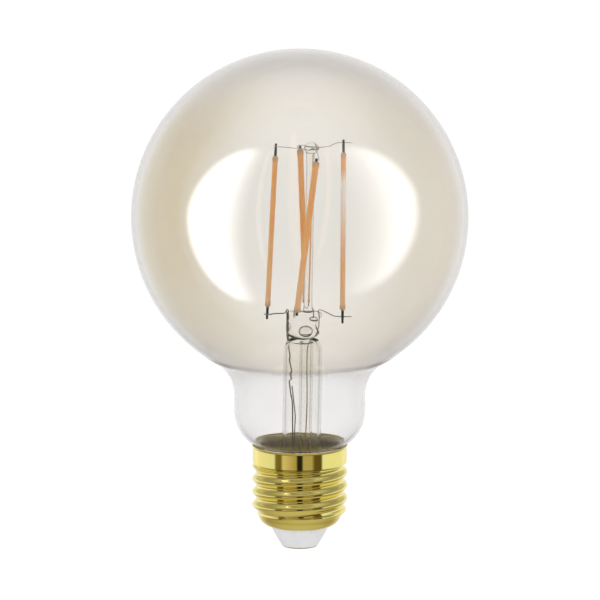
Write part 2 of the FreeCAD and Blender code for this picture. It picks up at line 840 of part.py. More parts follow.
bore_radius = size("insulator_bore")
turned("cap_insulator", [
    (bore_radius, size("insulator_tip_height")),
    (size("insulator_tip_radius"), size("insulator_tip_height")),
    (size("insulator_root_radius"), size("cap_floor_height"), size("insulator_bulge"), 1),
    (size("insulator_root_radius"), size("insulator_flange_bottom")),
    (size("insulator_flange_radius"), size("insulator_flange_bottom")),
    (size("insulator_flange_radius"), size("insulator_flange_top")),
    (bore_radius, size("insulator_flange_top")),
])

turned("contact_plate", [
    (bore_radius, size("contact_tip_height")),
    (size("contact_tip_radius"), size("contact_tip_height")),
    (size("contact_radius"), size("contact_edge_height")),
    (size("contact_radius"), size("insulator_tip_height")),
    (bore_radius, size("insulator_tip_height")),
])

turned("contact_solder", [
    (Size.of(0), Size.of(0)),
    (size("solder_radius") / 2, Size.of(0)),
    (size("solder_radius"), size("contact_tip_height")),
    (bore_radius, size("contact_tip_height")),
    (bore_radius, size("insulator_tip_height")),
    (Size.of(0), size("insulator_tip_height")),
])

turned("basing_cement", ring_profile(size("cement_radius"), size("neck_end_radius"),
                                     size("cement_bottom"), size("cement_inner_top")))

# ---- driver: a round board in an insulating sleeve, with its parts on both faces ----

turned("driver_board", ring_profile(size("board_radius"), Size.of(0), size("board_height"),
                                    size("board_height") + size("board_thickness")))
turned("driver_sleeve", ring_profile(size("sleeve_radius"), size("sleeve_radius") - size("sleeve_wall"),
                                     size("sleeve_bottom"), size("sleeve_top")))

board_low = number("board_height")
board_top = board_low + number("board_thickness")

capacitor_base = Vector(-number("capacitor_length") / 2, 4.6, board_low - number("capacitor_radius"))
capacitor = turned("smoothing_capacitor", [
    (Size.of(0), Size.of(0)),
    (size("capacitor_radius"), Size.of(0)),
    (size("capacitor_radius"), size("capacitor_length")),
    (size("capacitor_radius") - size("capacitor_vent"), size("capacitor_length")),
    (size("capacitor_radius") - size("capacitor_vent"), size("capacitor_length") - size("capacitor_vent")),
    (Size.of(0), size("capacitor_length") - size("capacitor_vent")),
])
capacitor.Placement = Placement(capacitor_base, Rotation(Vector(0, 0, 1), Vector(1, 0, 0)))

resistor_base = Vector(-6.4, -5.6, board_low - number("resistor_radius"))
keep(rod("resistor_barrel", size("resistor_radius"), size("resistor_length"), resistor_base, Vector(1, 0, 0)),
     "fusible_resistor")

drum = turned("inductor_core", [
    (Size.of(0), Size.of(0)),
    (size("drum_radius"), Size.of(0)),
    (size("drum_radius"), size("drum_plate")),
    (size("drum_core_radius"), size("drum_plate")),
    (size("drum_core_radius"), size("drum_height") - size("drum_plate")),
    (size("drum_radius"), size("drum_height") - size("drum_plate")),
    (size("drum_radius"), size("drum_height")),
    (Size.of(0), size("drum_height")),
])
winding = turned("inductor_winding", ring_profile(
    size("drum_radius") - size("capacitor_vent"), size("drum_core_radius"),
    size("drum_plate"), size("drum_height") - size("drum_plate")))
for drum_piece in (drum, winding):
    drum_piece.Placement.Base = Vector(6.6, 3.0, board_top)

# name, extent, centre, and whether it sits on the upper face
CHIPS = (
    ("bridge_rectifier", (4.7, 4.0, 1.6), (4.2, -3.4), False),
    ("driver_chip", (4.9, 3.9, 1.5), (-6.4, 3.4), True),
    ("switching_transistor", (2.9, 1.6, 1.1), (6.2, -3.6), True),
)
for label, extent, centre, on_top in CHIPS:
    foot = board_top if on_top else board_low - extent[2]
    package = block(f"{label}_body", extent, centre, foot)
    bevel = document.addObject("Part::Chamfer", f"{label}_bevel")
    bevel.Base = package
    bevel.Edges = [(edge, number("package_bevel"), number("package_bevel")) for edge in (2, 4, 6, 8)]
    keep(bevel, label)

keep(block("radio_board_plate",
           (size("radio_board_width"), size("radio_board_thickness"), size("radio_board_height")),
           (0, -number("radio_board_offset")), board_top), "radio_board")
keep(block("radio_shield_can",
           (size("radio_shield_width"), size("radio_shield_thickness"), size("radio_shield_height")),
           (-1.0, -number("radio_shield_offset")), board_top + number("radio_shield_rise")), "radio_shield")

resistor_extent = (size("chip_resistor_length"), size("chip_resistor_width"), size("chip_resistor_height"))
grouped("board_resistors", [
    block(f"chip_resistor_{index}", resistor_extent,
          (-7.6 + number("chip_resistor_pitch") * index, -1.2), board_low - number("chip_resistor_height"))
    for index in range(3)])
capacitor_extent = (size("chip_capacitor_width"), size("chip_capacitor_length"), size("chip_capacitor_width"))
grouped("board_capacitors", [
    block(f"chip_capacitor_{index}", capacitor_extent,
          (-1.6 + number("chip_capacitor_pitch") * index, 6.8), board_top)
    for index in range(4)])

wire("antenna_wire", [
    Vector(-1.9, -3.2, board_top),
    Vector(-1.7, -3.0, 26.0),
    Vector(-1.2, -2.6, 38.0),
    Vector(-2.1, -2.4, number("antenna_tip_height")),
], number("antenna_radius"))

wire("live_wire", [
    Vector(0, 0, number("insulator_tip_height")),
    Vector(0, 0, board_low),
], number("driver_wire_radius"))

neutral_x = -9.6
neutral_drop = number("sleeve_bottom") - 0.6
wire("neutral_wire", [
    Vector(neutral_x, 0, board_low),
    Vector(neutral_x, 0, neutral_drop),
    Vector(-number("cap_wall_radius") + number("cap_sheet") + 0.1, 0, neutral_drop),
], number("driver_wire_radius"), 0.5)

pads = []
for index, (joint, lead) in enumerate(((left_joint, "lead_wire_left"), (right_joint, "lead_wire_right"))):
    pad = document.addObject("Part::Cone", f"solder_cone_{index}")
    pad.setExpression("Radius1", size("solder_pad_radius").text)
    pad.setExpression("Radius2", (size("solder_pad_radius") / 2).text)
    pad.setExpression("Height", size("solder_pad_height").text)
    pad.Placement.Base = joint + Vector(0, 0, board_top)
    hollow = document.addObject("Part::Cut", f"solder_cut_{index}")
    hollow.Base = pad
    hollow.Tool = by_label[lead]
    pads.append(hollow)
grouped("board_solder_joints", pads)

# ---- check every object and write one file for each sub-part ----

document.recompute()

for item in document.Objects:
    if "Invalid" in item.State or "Error" in item.State:
        raise RuntimeError(f"{item.Label} did not build: {item.State}")
for piece in SUB_PARTS:
    if piece.Shape.isNull() or not piece.Shape.isValid():
        raise RuntimeError(f"{piece.Label} has no valid shape")
    if not piece.Shape.Solids or piece.Shape.Volume <= 0:
        raise RuntimeError(f"{piece.Label} holds no solid")

os.makedirs("parts", exist_ok=True)
for piece in SUB_PARTS:
    piece.Shape.exportStep(f"parts/{piece.Label}.step")
print(f"{len(SUB_PARTS)} sub-parts written")
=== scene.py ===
import math

import bpy
import numpy as np
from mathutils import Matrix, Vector


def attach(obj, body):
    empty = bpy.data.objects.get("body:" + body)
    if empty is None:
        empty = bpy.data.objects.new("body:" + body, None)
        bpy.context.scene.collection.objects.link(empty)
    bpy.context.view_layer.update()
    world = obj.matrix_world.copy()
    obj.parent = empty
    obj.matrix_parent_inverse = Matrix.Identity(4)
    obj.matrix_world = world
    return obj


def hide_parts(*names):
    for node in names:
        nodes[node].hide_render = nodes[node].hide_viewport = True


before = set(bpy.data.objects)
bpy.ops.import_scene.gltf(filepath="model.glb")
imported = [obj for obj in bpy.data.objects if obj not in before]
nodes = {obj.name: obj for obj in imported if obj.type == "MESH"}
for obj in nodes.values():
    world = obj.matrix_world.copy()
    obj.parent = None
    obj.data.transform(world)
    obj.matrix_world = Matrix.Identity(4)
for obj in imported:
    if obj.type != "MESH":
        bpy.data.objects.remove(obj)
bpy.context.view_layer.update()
MM = 0.001

# ----------------------------------------
# Studio. A long lens a little above the lamp looks down on it. The floor and the backdrop are one
# plain white sweep, and the lamp hangs above it, as it would from its lampholder.

AIM = Vector((0.00006, 0.0, 0.0708))
CAMERA_DISTANCE = 3.0
CAMERA_ELEVATION = math.radians(11.0)
SENSOR_WIDTH = 36.0
LENS_LENGTH = 639.0
MOST_BOUNCES = 32
WHITE = (1.0, 1.0, 1.0)

scene = bpy.context.scene
camera_data = bpy.data.cameras.new("camera")
camera_data.sensor_width = SENSOR_WIDTH
camera_data.lens = LENS_LENGTH
camera = bpy.data.objects.new("camera", camera_data)
scene.collection.objects.link(camera)
view = Vector((0.0, -math.cos(CAMERA_ELEVATION), math.sin(CAMERA_ELEVATION)))
camera.location = AIM + view * CAMERA_DISTANCE
camera.rotation_euler = view.to_track_quat("Z", "Y").to_euler()
scene.camera = camera
scene.view_settings.view_transform = "Standard"
for limit in ("max_bounces", "transmission_bounces", "transparent_max_bounces"):
    setattr(scene.cycles, limit, MOST_BOUNCES)


def add_object(name, mesh):
    """Put a mesh into the scene as an object at the origin."""
    piece = bpy.data.objects.new(name, mesh)
    scene.collection.objects.link(piece)
    return piece


def hide_from(piece, rays):
    """Hide a studio piece from some kinds of rays."""
    for ray in rays:
        setattr(piece, f"visible_{ray}", False)


def add_node(tree, kind):
    """Add a shader node of a kind."""
    return tree.nodes.new(f"ShaderNode{kind}")


def new_material(name):
    """An empty node material and its output node."""
    material = bpy.data.materials.new(name)
    material.use_nodes = True
    tree = material.node_tree
    tree.nodes.clear()
    return material, tree, add_node(tree, "OutputMaterial")


def plug(tree, socket, value):
    """Feed a socket from another one, or give it a number, a vector or a colour."""
    if isinstance(value, bpy.types.NodeSocket):
        tree.links.new(value, socket)
    elif socket.type == "RGBA" and isinstance(value, tuple):
        socket.default_value = (*value, 1.0)
    else:
        socket.default_value = value


def feed(tree, node, **values):
    """Plug a node's inputs, each named by its label in small letters."""
    for label, value in values.items():
        plug(tree, node.inputs[label.replace("_", " ").title()], value)


def math_node(tree, operation, first, second=0.5):
    """A Math node whose inputs are sockets or numbers."""
    node = add_node(tree, "Math")
    node.operation = operation
    for socket, value in zip(node.inputs, (first, second)):
        plug(tree, socket, value)
    return node.outputs[0]


def ramp_node(tree, factor, stops, interpolation="LINEAR"):
    """A colour ramp; stops are (position, grey level or colour)."""
    node = add_node(tree, "ValToRGB")
    ramp = node.color_ramp
    ramp.interpolation = interpolation
    while len(ramp.elements) < len(stops):
        ramp.elements.new(0.5)
    for element, (position, colour) in zip(ramp.elements, stops):
        element.position = position
        level = colour if isinstance(colour, tuple) else (colour, colour, colour)
        element.color = (*level, 1.0)
    tree.links.new(factor, node.inputs["Fac"])
    return node.outputs["Color"]


def mix_colour(tree, factor, first, second, blend="MIX"):
    """A colour mix; each input is a socket, a number or a colour."""
    node = add_node(tree, "Mix")
    node.data_type = "RGBA"
    node.blend_type = blend
    for index, value in ((0, factor), (6, first), (7, second)):
        plug(tree, node.inputs[index], value)
    return node.outputs[2]


def mix_shaders(tree, factor, first, second, output):
    """Send a mix of two shaders to the output; at factor 0 it is the first."""
    mix = add_node(tree, "MixShader")
    for value, socket in zip((factor, first.outputs[0], second.outputs[0]), mix.inputs):
        tree.links.new(value, socket)
    feed(tree, output, surface=mix.outputs[0])


def position(tree):
    """Sockets with the x, y and z of a point in the piece's own frame, in metres."""
    coordinates = add_node(tree, "TexCoord")
    split = add_node(tree, "SeparateXYZ")
    tree.links.new(coordinates.outputs["Object"], split.inputs[0])
    return split.outputs


def floor_sweep():
    """A large white floor a hand's breadth below the lamp. Only the camera sees it."""
    half = 6.0
    drop = 0.1
    brightness = 1.02
    mesh = bpy.data.meshes.new("floor")
    corners = [(-half, -half, -drop), (half, -half, -drop), (half, half, -drop), (-half, half, -drop)]
    mesh.from_pydata(corners, [], [(0, 1, 2, 3)])
    floor = add_object("floor", mesh)
    material, tree, output = new_material("white_sweep")
    glow = add_node(tree, "Emission")
    feed(tree, glow, strength=brightness)
    feed(tree, output, surface=glow.outputs[0])
    mesh.materials.append(material)
    hide_from(floor, ("glossy", "transmission", "diffuse", "shadow"))


def direction_angles(tree, vector, centre=(0.0, 0.0, 0.0)):
    """Turn from the camera side as a share of a full turn (0.5 is straight ahead), and height as half
    the sine plus one half, of a direction or of a position about a centre."""
    moved = add_node(tree, "VectorMath")
    moved.operation = "SUBTRACT"
    moved.inputs[1].default_value = centre
    tree.links.new(vector, moved.inputs[0])
    unit = add_node(tree, "VectorMath")
    unit.operation = "NORMALIZE"
    tree.links.new(moved.outputs[0], unit.inputs[0])
    split = add_node(tree, "SeparateXYZ")
    tree.links.new(unit.outputs[0], split.inputs[0])
    across, along, up = split.outputs
    turn = math_node(tree, "ARCTAN2", across, math_node(tree, "MULTIPLY", along, -1.0))
    share = math_node(tree, "ADD", math_node(tree, "MULTIPLY", turn, 1.0 / (2.0 * math.pi)), 0.5)
    height = math_node(tree, "ADD", math_node(tree, "MULTIPLY", up, 0.5), 0.5)
    return share, height


def turn_ramp(tree, share, stops):
    """A colour ramp round the lamp, whose stops are in degrees from straight ahead."""
    return ramp_node(tree, share, [(degrees / 360.0 + 0.5, colour) for degrees, colour in stops])


def rise_ramp(tree, height, stops, interpolation="LINEAR"):
    """A colour ramp upward, whose stops are in degrees of elevation."""
    places = [(0.5 + 0.5 * math.sin(math.radians(degrees)), colour) for degrees, colour in stops]
    return ramp_node(tree, height, places, interpolation)


def studio_world():
    """White all round for what is seen straight, and a little brighter for soft light. What glass bends
    far aside comes from a dimmer room. What glass mirrors is dim too: dark round the front, a grey
    ceiling and floor, and the white backdrop only behind the lamp."""
    soft_white = (1.3, 1.3, 1.3)
    world = bpy.data.worlds.new("studio")
    bpy.context.scene.world = world
    world.use_nodes = True
    world.cycles.sampling_method = "NONE"
    tree = world.node_tree
    tree.nodes.clear()
    direction = add_node(tree, "TexCoord")
    share, height = direction_angles(tree, direction.outputs["Generated"])
    around = turn_ramp(tree, share, [
        (-180, 0.95), (-152, 0.85), (-120, 0.4), (-70, 0.1), (-55, 0.02),
        (55, 0.02), (70, 0.1), (120, 0.4), (152, 0.85), (180, 0.95)])
    lid = rise_ramp(tree, height, [
        (-90, 0.12), (-20, 0.12), (10, 0.12), (45, 0.28), (90, 0.8)])
    ends = rise_ramp(tree, height, [
        (-90, 1.0), (-55, 1.0), (-15, 0.0), (0, 0.0), (60, 1.0),
        (90, 1.0)], "EASE")
    mirrored_view = mix_colour(tree, ends, around, lid)
    forward = add_node(tree, "VectorMath")
    forward.operation = "DOT_PRODUCT"
    forward.inputs[1].default_value = tuple(-view)
    tree.links.new(direction.outputs["Generated"], forward.inputs[0])
    bent = ramp_node(tree, forward.outputs["Value"], [
        (0.0, 0.46), (math.cos(math.radians(70)), 0.5), (math.cos(math.radians(42)), 0.84),
        (math.cos(math.radians(28)), 1.0)], "EASE")
    path = add_node(tree, "LightPath")

    def after(kind):
        """1 for a ray that has met a surface of this kind, else 0."""
        return math_node(tree, "GREATER_THAN", path.outputs[f"{kind} Depth"], 0.5)

    colour = mix_colour(tree, after("Transmission"), WHITE, bent)
    colour = mix_colour(tree, after("Glossy"), colour, mirrored_view)
    colour = mix_colour(tree, after("Diffuse"), colour, soft_white)
    background = add_node(tree, "Background")
    feed(tree, background, color=colour)
    output = add_node(tree, "OutputWorld")
    feed(tree, output, surface=background.outputs[0])


floor_sweep()
studio_world()


# Most of a noise pattern lies between these two values.
NOISE_LOW, NOISE_HIGH = 0.3, 0.7


def noise(tree, scale, detail=3.0, roughness=0.5, stretch=(1.0, 1.0, 1.0)):
    """Noise in object coordinates; the stretch lengthens it along an axis."""
    coordinates = add_node(tree, "TexCoord")
    mapping = add_node(tree, "Mapping")
    feed(tree, mapping, scale=stretch, vector=coordinates.outputs["Object"])
    node = add_node(tree, "TexNoise")
    feed(tree, node, scale=scale, detail=detail, roughness=roughness, vector=mapping.outputs[0])
    return node.outputs["Fac"]


def remap(tree, value, low, high, to_low=0.0, to_high=1.0):
    """A Map Range node from one span to another, clamped."""
    node = add_node(tree, "MapRange")
    feed(tree, node, value=value, from_min=low, from_max=high, to_min=to_low, to_max=to_high)
    return node.outputs["Result"]


def bump(tree, height, distance):
    """A Bump node at full strength; the distance is in metres."""
    node = add_node(tree, "Bump")
    feed(tree, node, distance=distance, height=height)
    return node.outputs["Normal"]


def surface(name, colours, grain, roughness, metallic=0.0, bump_depth=0.0, stretch=(1.0, 1.0, 1.0), **plain):
    """A Principled material: noise of one grain size moves the colour between two tones, the
    roughness between two values and, where given, the bump."""
    material, tree, output = new_material(name)
    shader = add_node(tree, "BsdfPrincipled")
    pattern = noise(tree, grain, 4.0, 0.55, stretch)
    colour = ramp_node(tree, pattern, [(NOISE_LOW, colours[0]), (NOISE_HIGH, colours[1])])
    polish = remap(tree, pattern, NOISE_LOW, NOISE_HIGH, *roughness)
    feed(tree, shader, base_color=colour, roughness=polish, metallic=metallic, **plain)
    if bump_depth:
        feed(tree, shader, normal=bump(tree, pattern, bump_depth))
    feed(tree, output, surface=shader.outputs[0])
    return material


# ----------------------------------------
# Screw cap. Thin brass sheet, drawn to a cup and rolled to a right-hand thread of four turns, with a
# plain collar and a flared lip at the top and a rounded floor that holds the insulator.

LIP_HEIGHT = 29.3
FLOOR_HEIGHT = 6.0
FLOOR_RADIUS = 7.8
WALL_RADIUS = 11.9
ROOT_RADIUS = 12.38
CREST_RADIUS = 13.45
THREAD_PITCH = 3.74
THREAD_PHASE = 21.45
THREAD_LOW, THREAD_HIGH, THREAD_FADE = 9.1, 24.4, 1.3
COLLAR_LOW, COLLAR_RADIUS, LIP_RADIUS = 24.1, 13.35, 13.55
ROOT_START = 10.1
STEP_LENGTH = 0.6
SHEET = 0.3


def fit(piece, material, node):
    """Give a piece its finish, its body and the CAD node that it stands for."""
    piece.data.materials.append(material)
    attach(piece, "root")
    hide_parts(node)


def once_round(columns):
    """Angles once round an axis, the last one short of the first."""
    return np.linspace(0.0, 2.0 * np.pi, columns, endpoint=False)


def ease(share):
    """A smooth step from 0 to 1: 3 s squared minus 2 s cubed."""
    share = np.clip(share, 0.0, 1.0)
    return share * share * (3.0 - 2.0 * share)


def skin(name, stacks, ends="fan", sharp=35.0):
    """Skins over one stack of rings or a list of them; a stack is rows by columns by 3, in millimetres.
    Columns go round anticlockwise seen from the way the rows advance. Ends are a fan to the centre of
    both end rings, head, a fan at the last ring only, or wrap, where the last row joins the first."""
    parts, faces, offset = [], [], 0
    for rings in stacks if isinstance(stacks, list) else [stacks]:
        rows, columns = rings.shape[:2]
        row, column = np.meshgrid(np.arange(rows), np.arange(columns), indexing="ij")
        after = (column + 1) % columns
        above = (row + 1) % rows
        last = rows if ends == "wrap" else rows - 1
        quads = np.stack([row * columns + column, row * columns + after,
                          above * columns + after, above * columns + column], axis=-1)
        points = rings.reshape(-1, 3)
        faces += (quads[:last].reshape(-1, 4) + offset).tolist()
        around = np.arange(columns)
        following = (around + 1) % columns
        if ends == "fan":
            centre = np.full(columns, len(points))
            points = np.concatenate([points, [rings[0].mean(0)]])
            faces += (np.stack([following, around, centre], axis=-1) + offset).tolist()
        if ends != "wrap":
            centre = np.full(columns, len(points))
            points = np.concatenate([points, [rings[-1].mean(0)]])
            top = (rows - 1) * columns
            faces += (np.stack([top + around, top + following, centre], axis=-1) + offset).tolist()
        parts.append(points)
        offset += len(points)
    points = np.concatenate(parts)
    mesh = bpy.data.meshes.new(name)
    mesh.from_pydata((points * MM).tolist(), [], faces)
    mesh.update()
    mesh.shade_smooth()
    mesh.set_sharp_from_angle(angle=math.radians(sharp))
    return add_object(name, mesh)


def spun(profile, columns, offset=(0.0, 0.0)):
    """Rings of a turned shape: each (radius, height) of the profile goes round the axis once."""
    profile = np.asarray(profile, float)
    angle = once_round(columns)
    across = profile[:, :1] * np.cos(angle) + offset[0]
    along = profile[:, :1] * np.sin(angle) + offset[1]
    up = np.repeat(profile[:, 1:], columns, axis=1)
    return np.stack([across, along, up], axis=-1)


def cap_wall(height):
    """Radius of the plain sheet at a height above the rounded floor: root, collar step, lip flare."""
    radius = WALL_RADIUS + (ROOT_RADIUS - WALL_RADIUS) * ease((height - ROOT_START) / THREAD_FADE)
    radius = radius + (COLLAR_RADIUS - ROOT_RADIUS) * ease((height - COLLAR_LOW) / STEP_LENGTH + 0.5)
    return radius + (LIP_RADIUS - COLLAR_RADIUS) * ease((height - LIP_HEIGHT) / STEP_LENGTH + 1.0)


def cap_rings(inset, columns=256, corner_rows=14, wall_rows=156):
    """One face of the sheet. The thread is a wave in height that climbs one pitch a turn; its crest is
    fuller than its root, and it fades in and out at the ends of the rolled part."""
    corner_angle = np.linspace(0.0, np.pi / 2.0, corner_rows)[:-1]
    corner = WALL_RADIUS - FLOOR_RADIUS
    floor_radius = FLOOR_RADIUS + (corner - inset) * np.sin(corner_angle)
    floor_height = FLOOR_HEIGHT + corner - (corner - inset) * np.cos(corner_angle)
    wall_height = np.linspace(FLOOR_HEIGHT + corner, LIP_HEIGHT, wall_rows)
    radius = np.concatenate([floor_radius, cap_wall(wall_height) - inset])[:, None]
    height = np.concatenate([floor_height, wall_height])[:, None]
    angle = once_round(columns)[None, :]
    fade = ease((height - THREAD_LOW) / THREAD_FADE) * ease((THREAD_HIGH - height) / THREAD_FADE)
    turns = (height - THREAD_PHASE) / THREAD_PITCH - angle / (2.0 * np.pi)
    wave = 0.5 + 0.5 * np.cos(2.0 * np.pi * turns)
    reach = radius + (CREST_RADIUS - ROOT_RADIUS) * fade * wave
    return np.stack([reach * np.cos(angle), reach * np.sin(angle), height + 0.0 * angle], axis=-1)


outside = cap_rings(0.0)
inside = cap_rings(SHEET)
cap_shell = skin("cap_brass_shell", np.concatenate([outside, inside[::-1]]), ends="wrap")
brass = surface("bright_spun_brass", ((0.8, 0.69, 0.21), (0.84, 0.73, 0.24)), 900.0, (0.06, 0.1),
                metallic=1.0, bump_depth=0.000002, stretch=(1.0, 1.0, 12.0))
fit(cap_shell, brass, "cap_shell")


# ----------------------------------------
# Insulator, contact plate and solder tip. White moulded cone in the cap's floor, a stamped brass disc
# let into its end, and the drop of solder that holds the live wire.

def arc(start, finish, radius, side, steps):
    """Points of the short arc between two (radius, height) points; side +1 turns left on the way."""
    start, finish = np.asarray(start, float), np.asarray(finish, float)
    chord = finish - start
    half = np.hypot(*chord) / 2.0
    left = np.array([-chord[1], chord[0]]) / (2.0 * half)
    centre = (start + finish) / 2.0 + left * side * math.sqrt(max(radius * radius - half * half, 0.0))
    first = math.atan2(*(start - centre)[::-1])
    last = math.atan2(*(finish - centre)[::-1])
    sweep = (last - first) % (2.0 * math.pi)
    if side < 0:
        sweep -= 2.0 * math.pi
    angle = first + sweep * np.linspace(0.0, 1.0, steps)
    return np.stack([centre[0] + radius * np.cos(angle), centre[1] + radius * np.sin(angle)], axis=-1)


def turned(name, profile, columns=96, offset=(0.0, 0.0), sharp=35.0):
    """A closed turned piece whose profile runs up its outside; both ends close on the axis."""
    return skin(name, spun(profile, columns, offset), "fan", sharp)


insulator_profile = np.concatenate([
    [(0.72, 0.56), (4.9, 0.56)],
    arc((5.05, 0.4), (5.28, 0.66), 0.3, 1, 6),
    arc((5.28, 0.66), (7.95, 5.4), 60.0, 1, 24),
    [(7.95, 6.5), (8.6, 7.0), (8.6, 7.8), (0.72, 7.8)],
])
insulator = turned("cap_insulator_moulding", insulator_profile, 128)
white_plastic = surface("white_insulator", ((0.57, 0.57, 0.58), (0.61, 0.61, 0.62)), 260.0, (0.3, 0.38),
                        bump_depth=0.00001, coat_weight=0.25, coat_roughness=0.15)
fit(insulator, white_plastic, "cap_insulator")

contact_profile = np.concatenate([
    [(0.75, 0.08), (1.6, 0.08)],
    arc((1.6, 0.08), (4.85, 0.12), 90.0, 1, 10),
    arc((4.85, 0.12), (4.98, 0.3), 0.16, 1, 6),
    [(4.98, 0.55), (0.75, 0.55)],
])
contact = turned("contact_plate_disc", contact_profile, 128)
plate_brass = surface("contact_brass", ((0.5, 0.38, 0.12), (0.6, 0.47, 0.17)), 700.0, (0.14, 0.26),
                      metallic=1.0, bump_depth=0.000005)
fit(contact, plate_brass, "contact_plate")

solder_profile = np.concatenate([arc((0.35, 0.0), (1.1, 0.22), 1.4, 1, 8), [(0.7, 0.26), (0.7, 0.9)]])
solder_tip = turned("contact_solder_drop", solder_profile, 48)
solder_metal = surface("dull_solder", ((0.2, 0.2, 0.19), (0.34, 0.33, 0.31)), 1200.0, (0.28, 0.45),
                       metallic=1.0, bump_depth=0.00003)
fit(solder_tip, solder_metal, "contact_solder")

# ----------------------------------------
# Basing cement. A baked ring of pale brown cement between the glass and the collar; it shows through
# the neck just inside the lip, lumpy along its upper edge.

cement_angle = once_round(192)
cement_lumps = (0.16 * np.sin(3.0 * cement_angle + 0.6) + 0.1 * np.sin(7.0 * cement_angle + 2.1)
                + 0.06 * np.sin(17.0 * cement_angle))
cement_profile = [(11.55, 22.0), (11.95, 22.0), (11.98, 24.2), (12.95, 24.9), (12.95, 28.5),
                  (12.8, 28.9), (12.5, 29.0), (12.1, 28.8), (11.6, 27.7)]
cement_rings = spun(cement_profile, len(cement_angle))
upper_edge = slice(4, 8)
cement_rings[upper_edge, :, 2] += cement_lumps
cement = skin("basing_cement_ring", cement_rings, "wrap", 60.0)
baked_cement = surface("baked_cement", ((0.7, 0.6, 0.36), (0.86, 0.75, 0.48)), 420.0, (0.55, 0.8),
                       bump_depth=0.0001)
fit(cement, baked_cement, "basing_cement")

# ----------------------------------------
# Glass envelope. Blown soda-lime glass in one wall: ball, concave blend, straight neck, round shoulder
# and a narrow neck end that the flare is sealed to. A thin warm semi-mirror tint lies on the ball.

BALL_RADIUS = 47.45
BALL_CENTRE = 94.5
BLEND_RADIUS = 12.0
NECK_RADIUS = 18.45
SHOULDER_RADIUS = 11.5
SHOULDER_HEIGHT = 39.3
NECK_END_RADIUS = 11.5
NECK_END_FILLET = 1.5
NECK_END_HEIGHT = 20.4
GLASS_WALL = 0.9
GLASS_COLUMNS = 224


def envelope_profile(wall):
    """One face of the glass from the neck end up to the top. The arcs keep their centres and change
    radius by the wall; each blend touches its neighbours, so its ends follow from the centres."""
    ball, blend = BALL_RADIUS - wall, BLEND_RADIUS + wall
    neck, end = NECK_RADIUS - wall, NECK_END_RADIUS - wall
    shoulder, fillet = SHOULDER_RADIUS - wall, NECK_END_FILLET + wall
    blend_across = NECK_RADIUS + BLEND_RADIUS
    drop = math.sqrt((ball + blend) ** 2 - blend_across ** 2)
    shoulder_across = NECK_RADIUS - SHOULDER_RADIUS
    fillet_across = NECK_END_RADIUS + NECK_END_FILLET
    fillet_drop = math.sqrt((shoulder + fillet) ** 2 - (fillet_across - shoulder_across) ** 2)
    meet = shoulder / (shoulder + fillet)
    fillet_end = (shoulder_across + (fillet_across - shoulder_across) * meet,
                  SHOULDER_HEIGHT - fillet_drop * meet)
    tangent = (blend_across * ball / (ball + blend), BALL_CENTRE - drop * ball / (ball + blend))
    return np.concatenate([
        [(end, NECK_END_HEIGHT)],
        arc((end, SHOULDER_HEIGHT - fillet_drop), fillet_end, fillet, -1, 12),
        arc(fillet_end, (neck, SHOULDER_HEIGHT), shoulder, 1, 28)[1:],
        arc((neck, BALL_CENTRE - drop), tangent, blend, -1, 20),
        arc(tangent, (0.02, BALL_CENTRE + ball), ball, 1, 110)[1:],
    ])


def clear_glass(name, waviness, tone, index):
    """Clear glass whose surface waves very slightly, as blown and drawn glass does. It casts no
    shadow; a lower index bends and mirrors less."""
    material, tree, output = new_material(name)
    shader = add_node(tree, "BsdfPrincipled")
    shader.inputs["IOR"].default_value = index
    darker = tuple(0.995 * part for part in tone)
    colour = ramp_node(tree, noise(tree, 30.0), [(NOISE_LOW, tone), (NOISE_HIGH, darker)])
    roughness = remap(tree, noise(tree, 120.0), NOISE_LOW, NOISE_HIGH, 0.0, 0.008)
    feed(tree, shader, transmission_weight=1.0, base_color=colour, roughness=roughness,
         normal=bump(tree, noise(tree, 60.0, 2.0), waviness))
    clear = add_node(tree, "BsdfTransparent")
    path = add_node(tree, "LightPath")
    mix_shaders(tree, path.outputs["Is Shadow Ray"], shader, clear, output)
    return material


globe_outer = envelope_profile(0.0)
globe_inner = envelope_profile(GLASS_WALL)
globe_rings = spun(np.concatenate([globe_inner[::-1], globe_outer]), GLASS_COLUMNS)
globe = skin("glass_envelope", globe_rings)
globe_glass = clear_glass("blown_glass", 0.000004, (0.997, 0.987, 0.982), 1.5)
fit(globe, globe_glass, "glass_globe")


# The tint: a film on the ball that ends at its foot in front and thins out into the neck behind. Its
# lengths are in millimetres; the heights at which its colour changes are in metres.
TINT_GAP = 0.03
TINT_END = 43.0
NEVER_SHARP = 180.0
FRONT_EDGE = (0.0535, 0.056)
REAR_EDGE = (0.044, 0.076)
# The next two spans bound a painted shade line along the film's front edge.
SHADE_LINE_RISE = (0.054, 0.0551)
SHADE_LINE_FALL = (0.0551, 0.0566)
PALE_TOP = (0.122, 0.139)
NO_TINT = [(0.74, (0.985, 0.97, 0.95)), (1.0, WHITE)]
tint_profile = envelope_profile(-TINT_GAP)
tint_profile = tint_profile[tint_profile[:, 1] > TINT_END]
tint_rings = spun(tint_profile, GLASS_COLUMNS)[:-1]


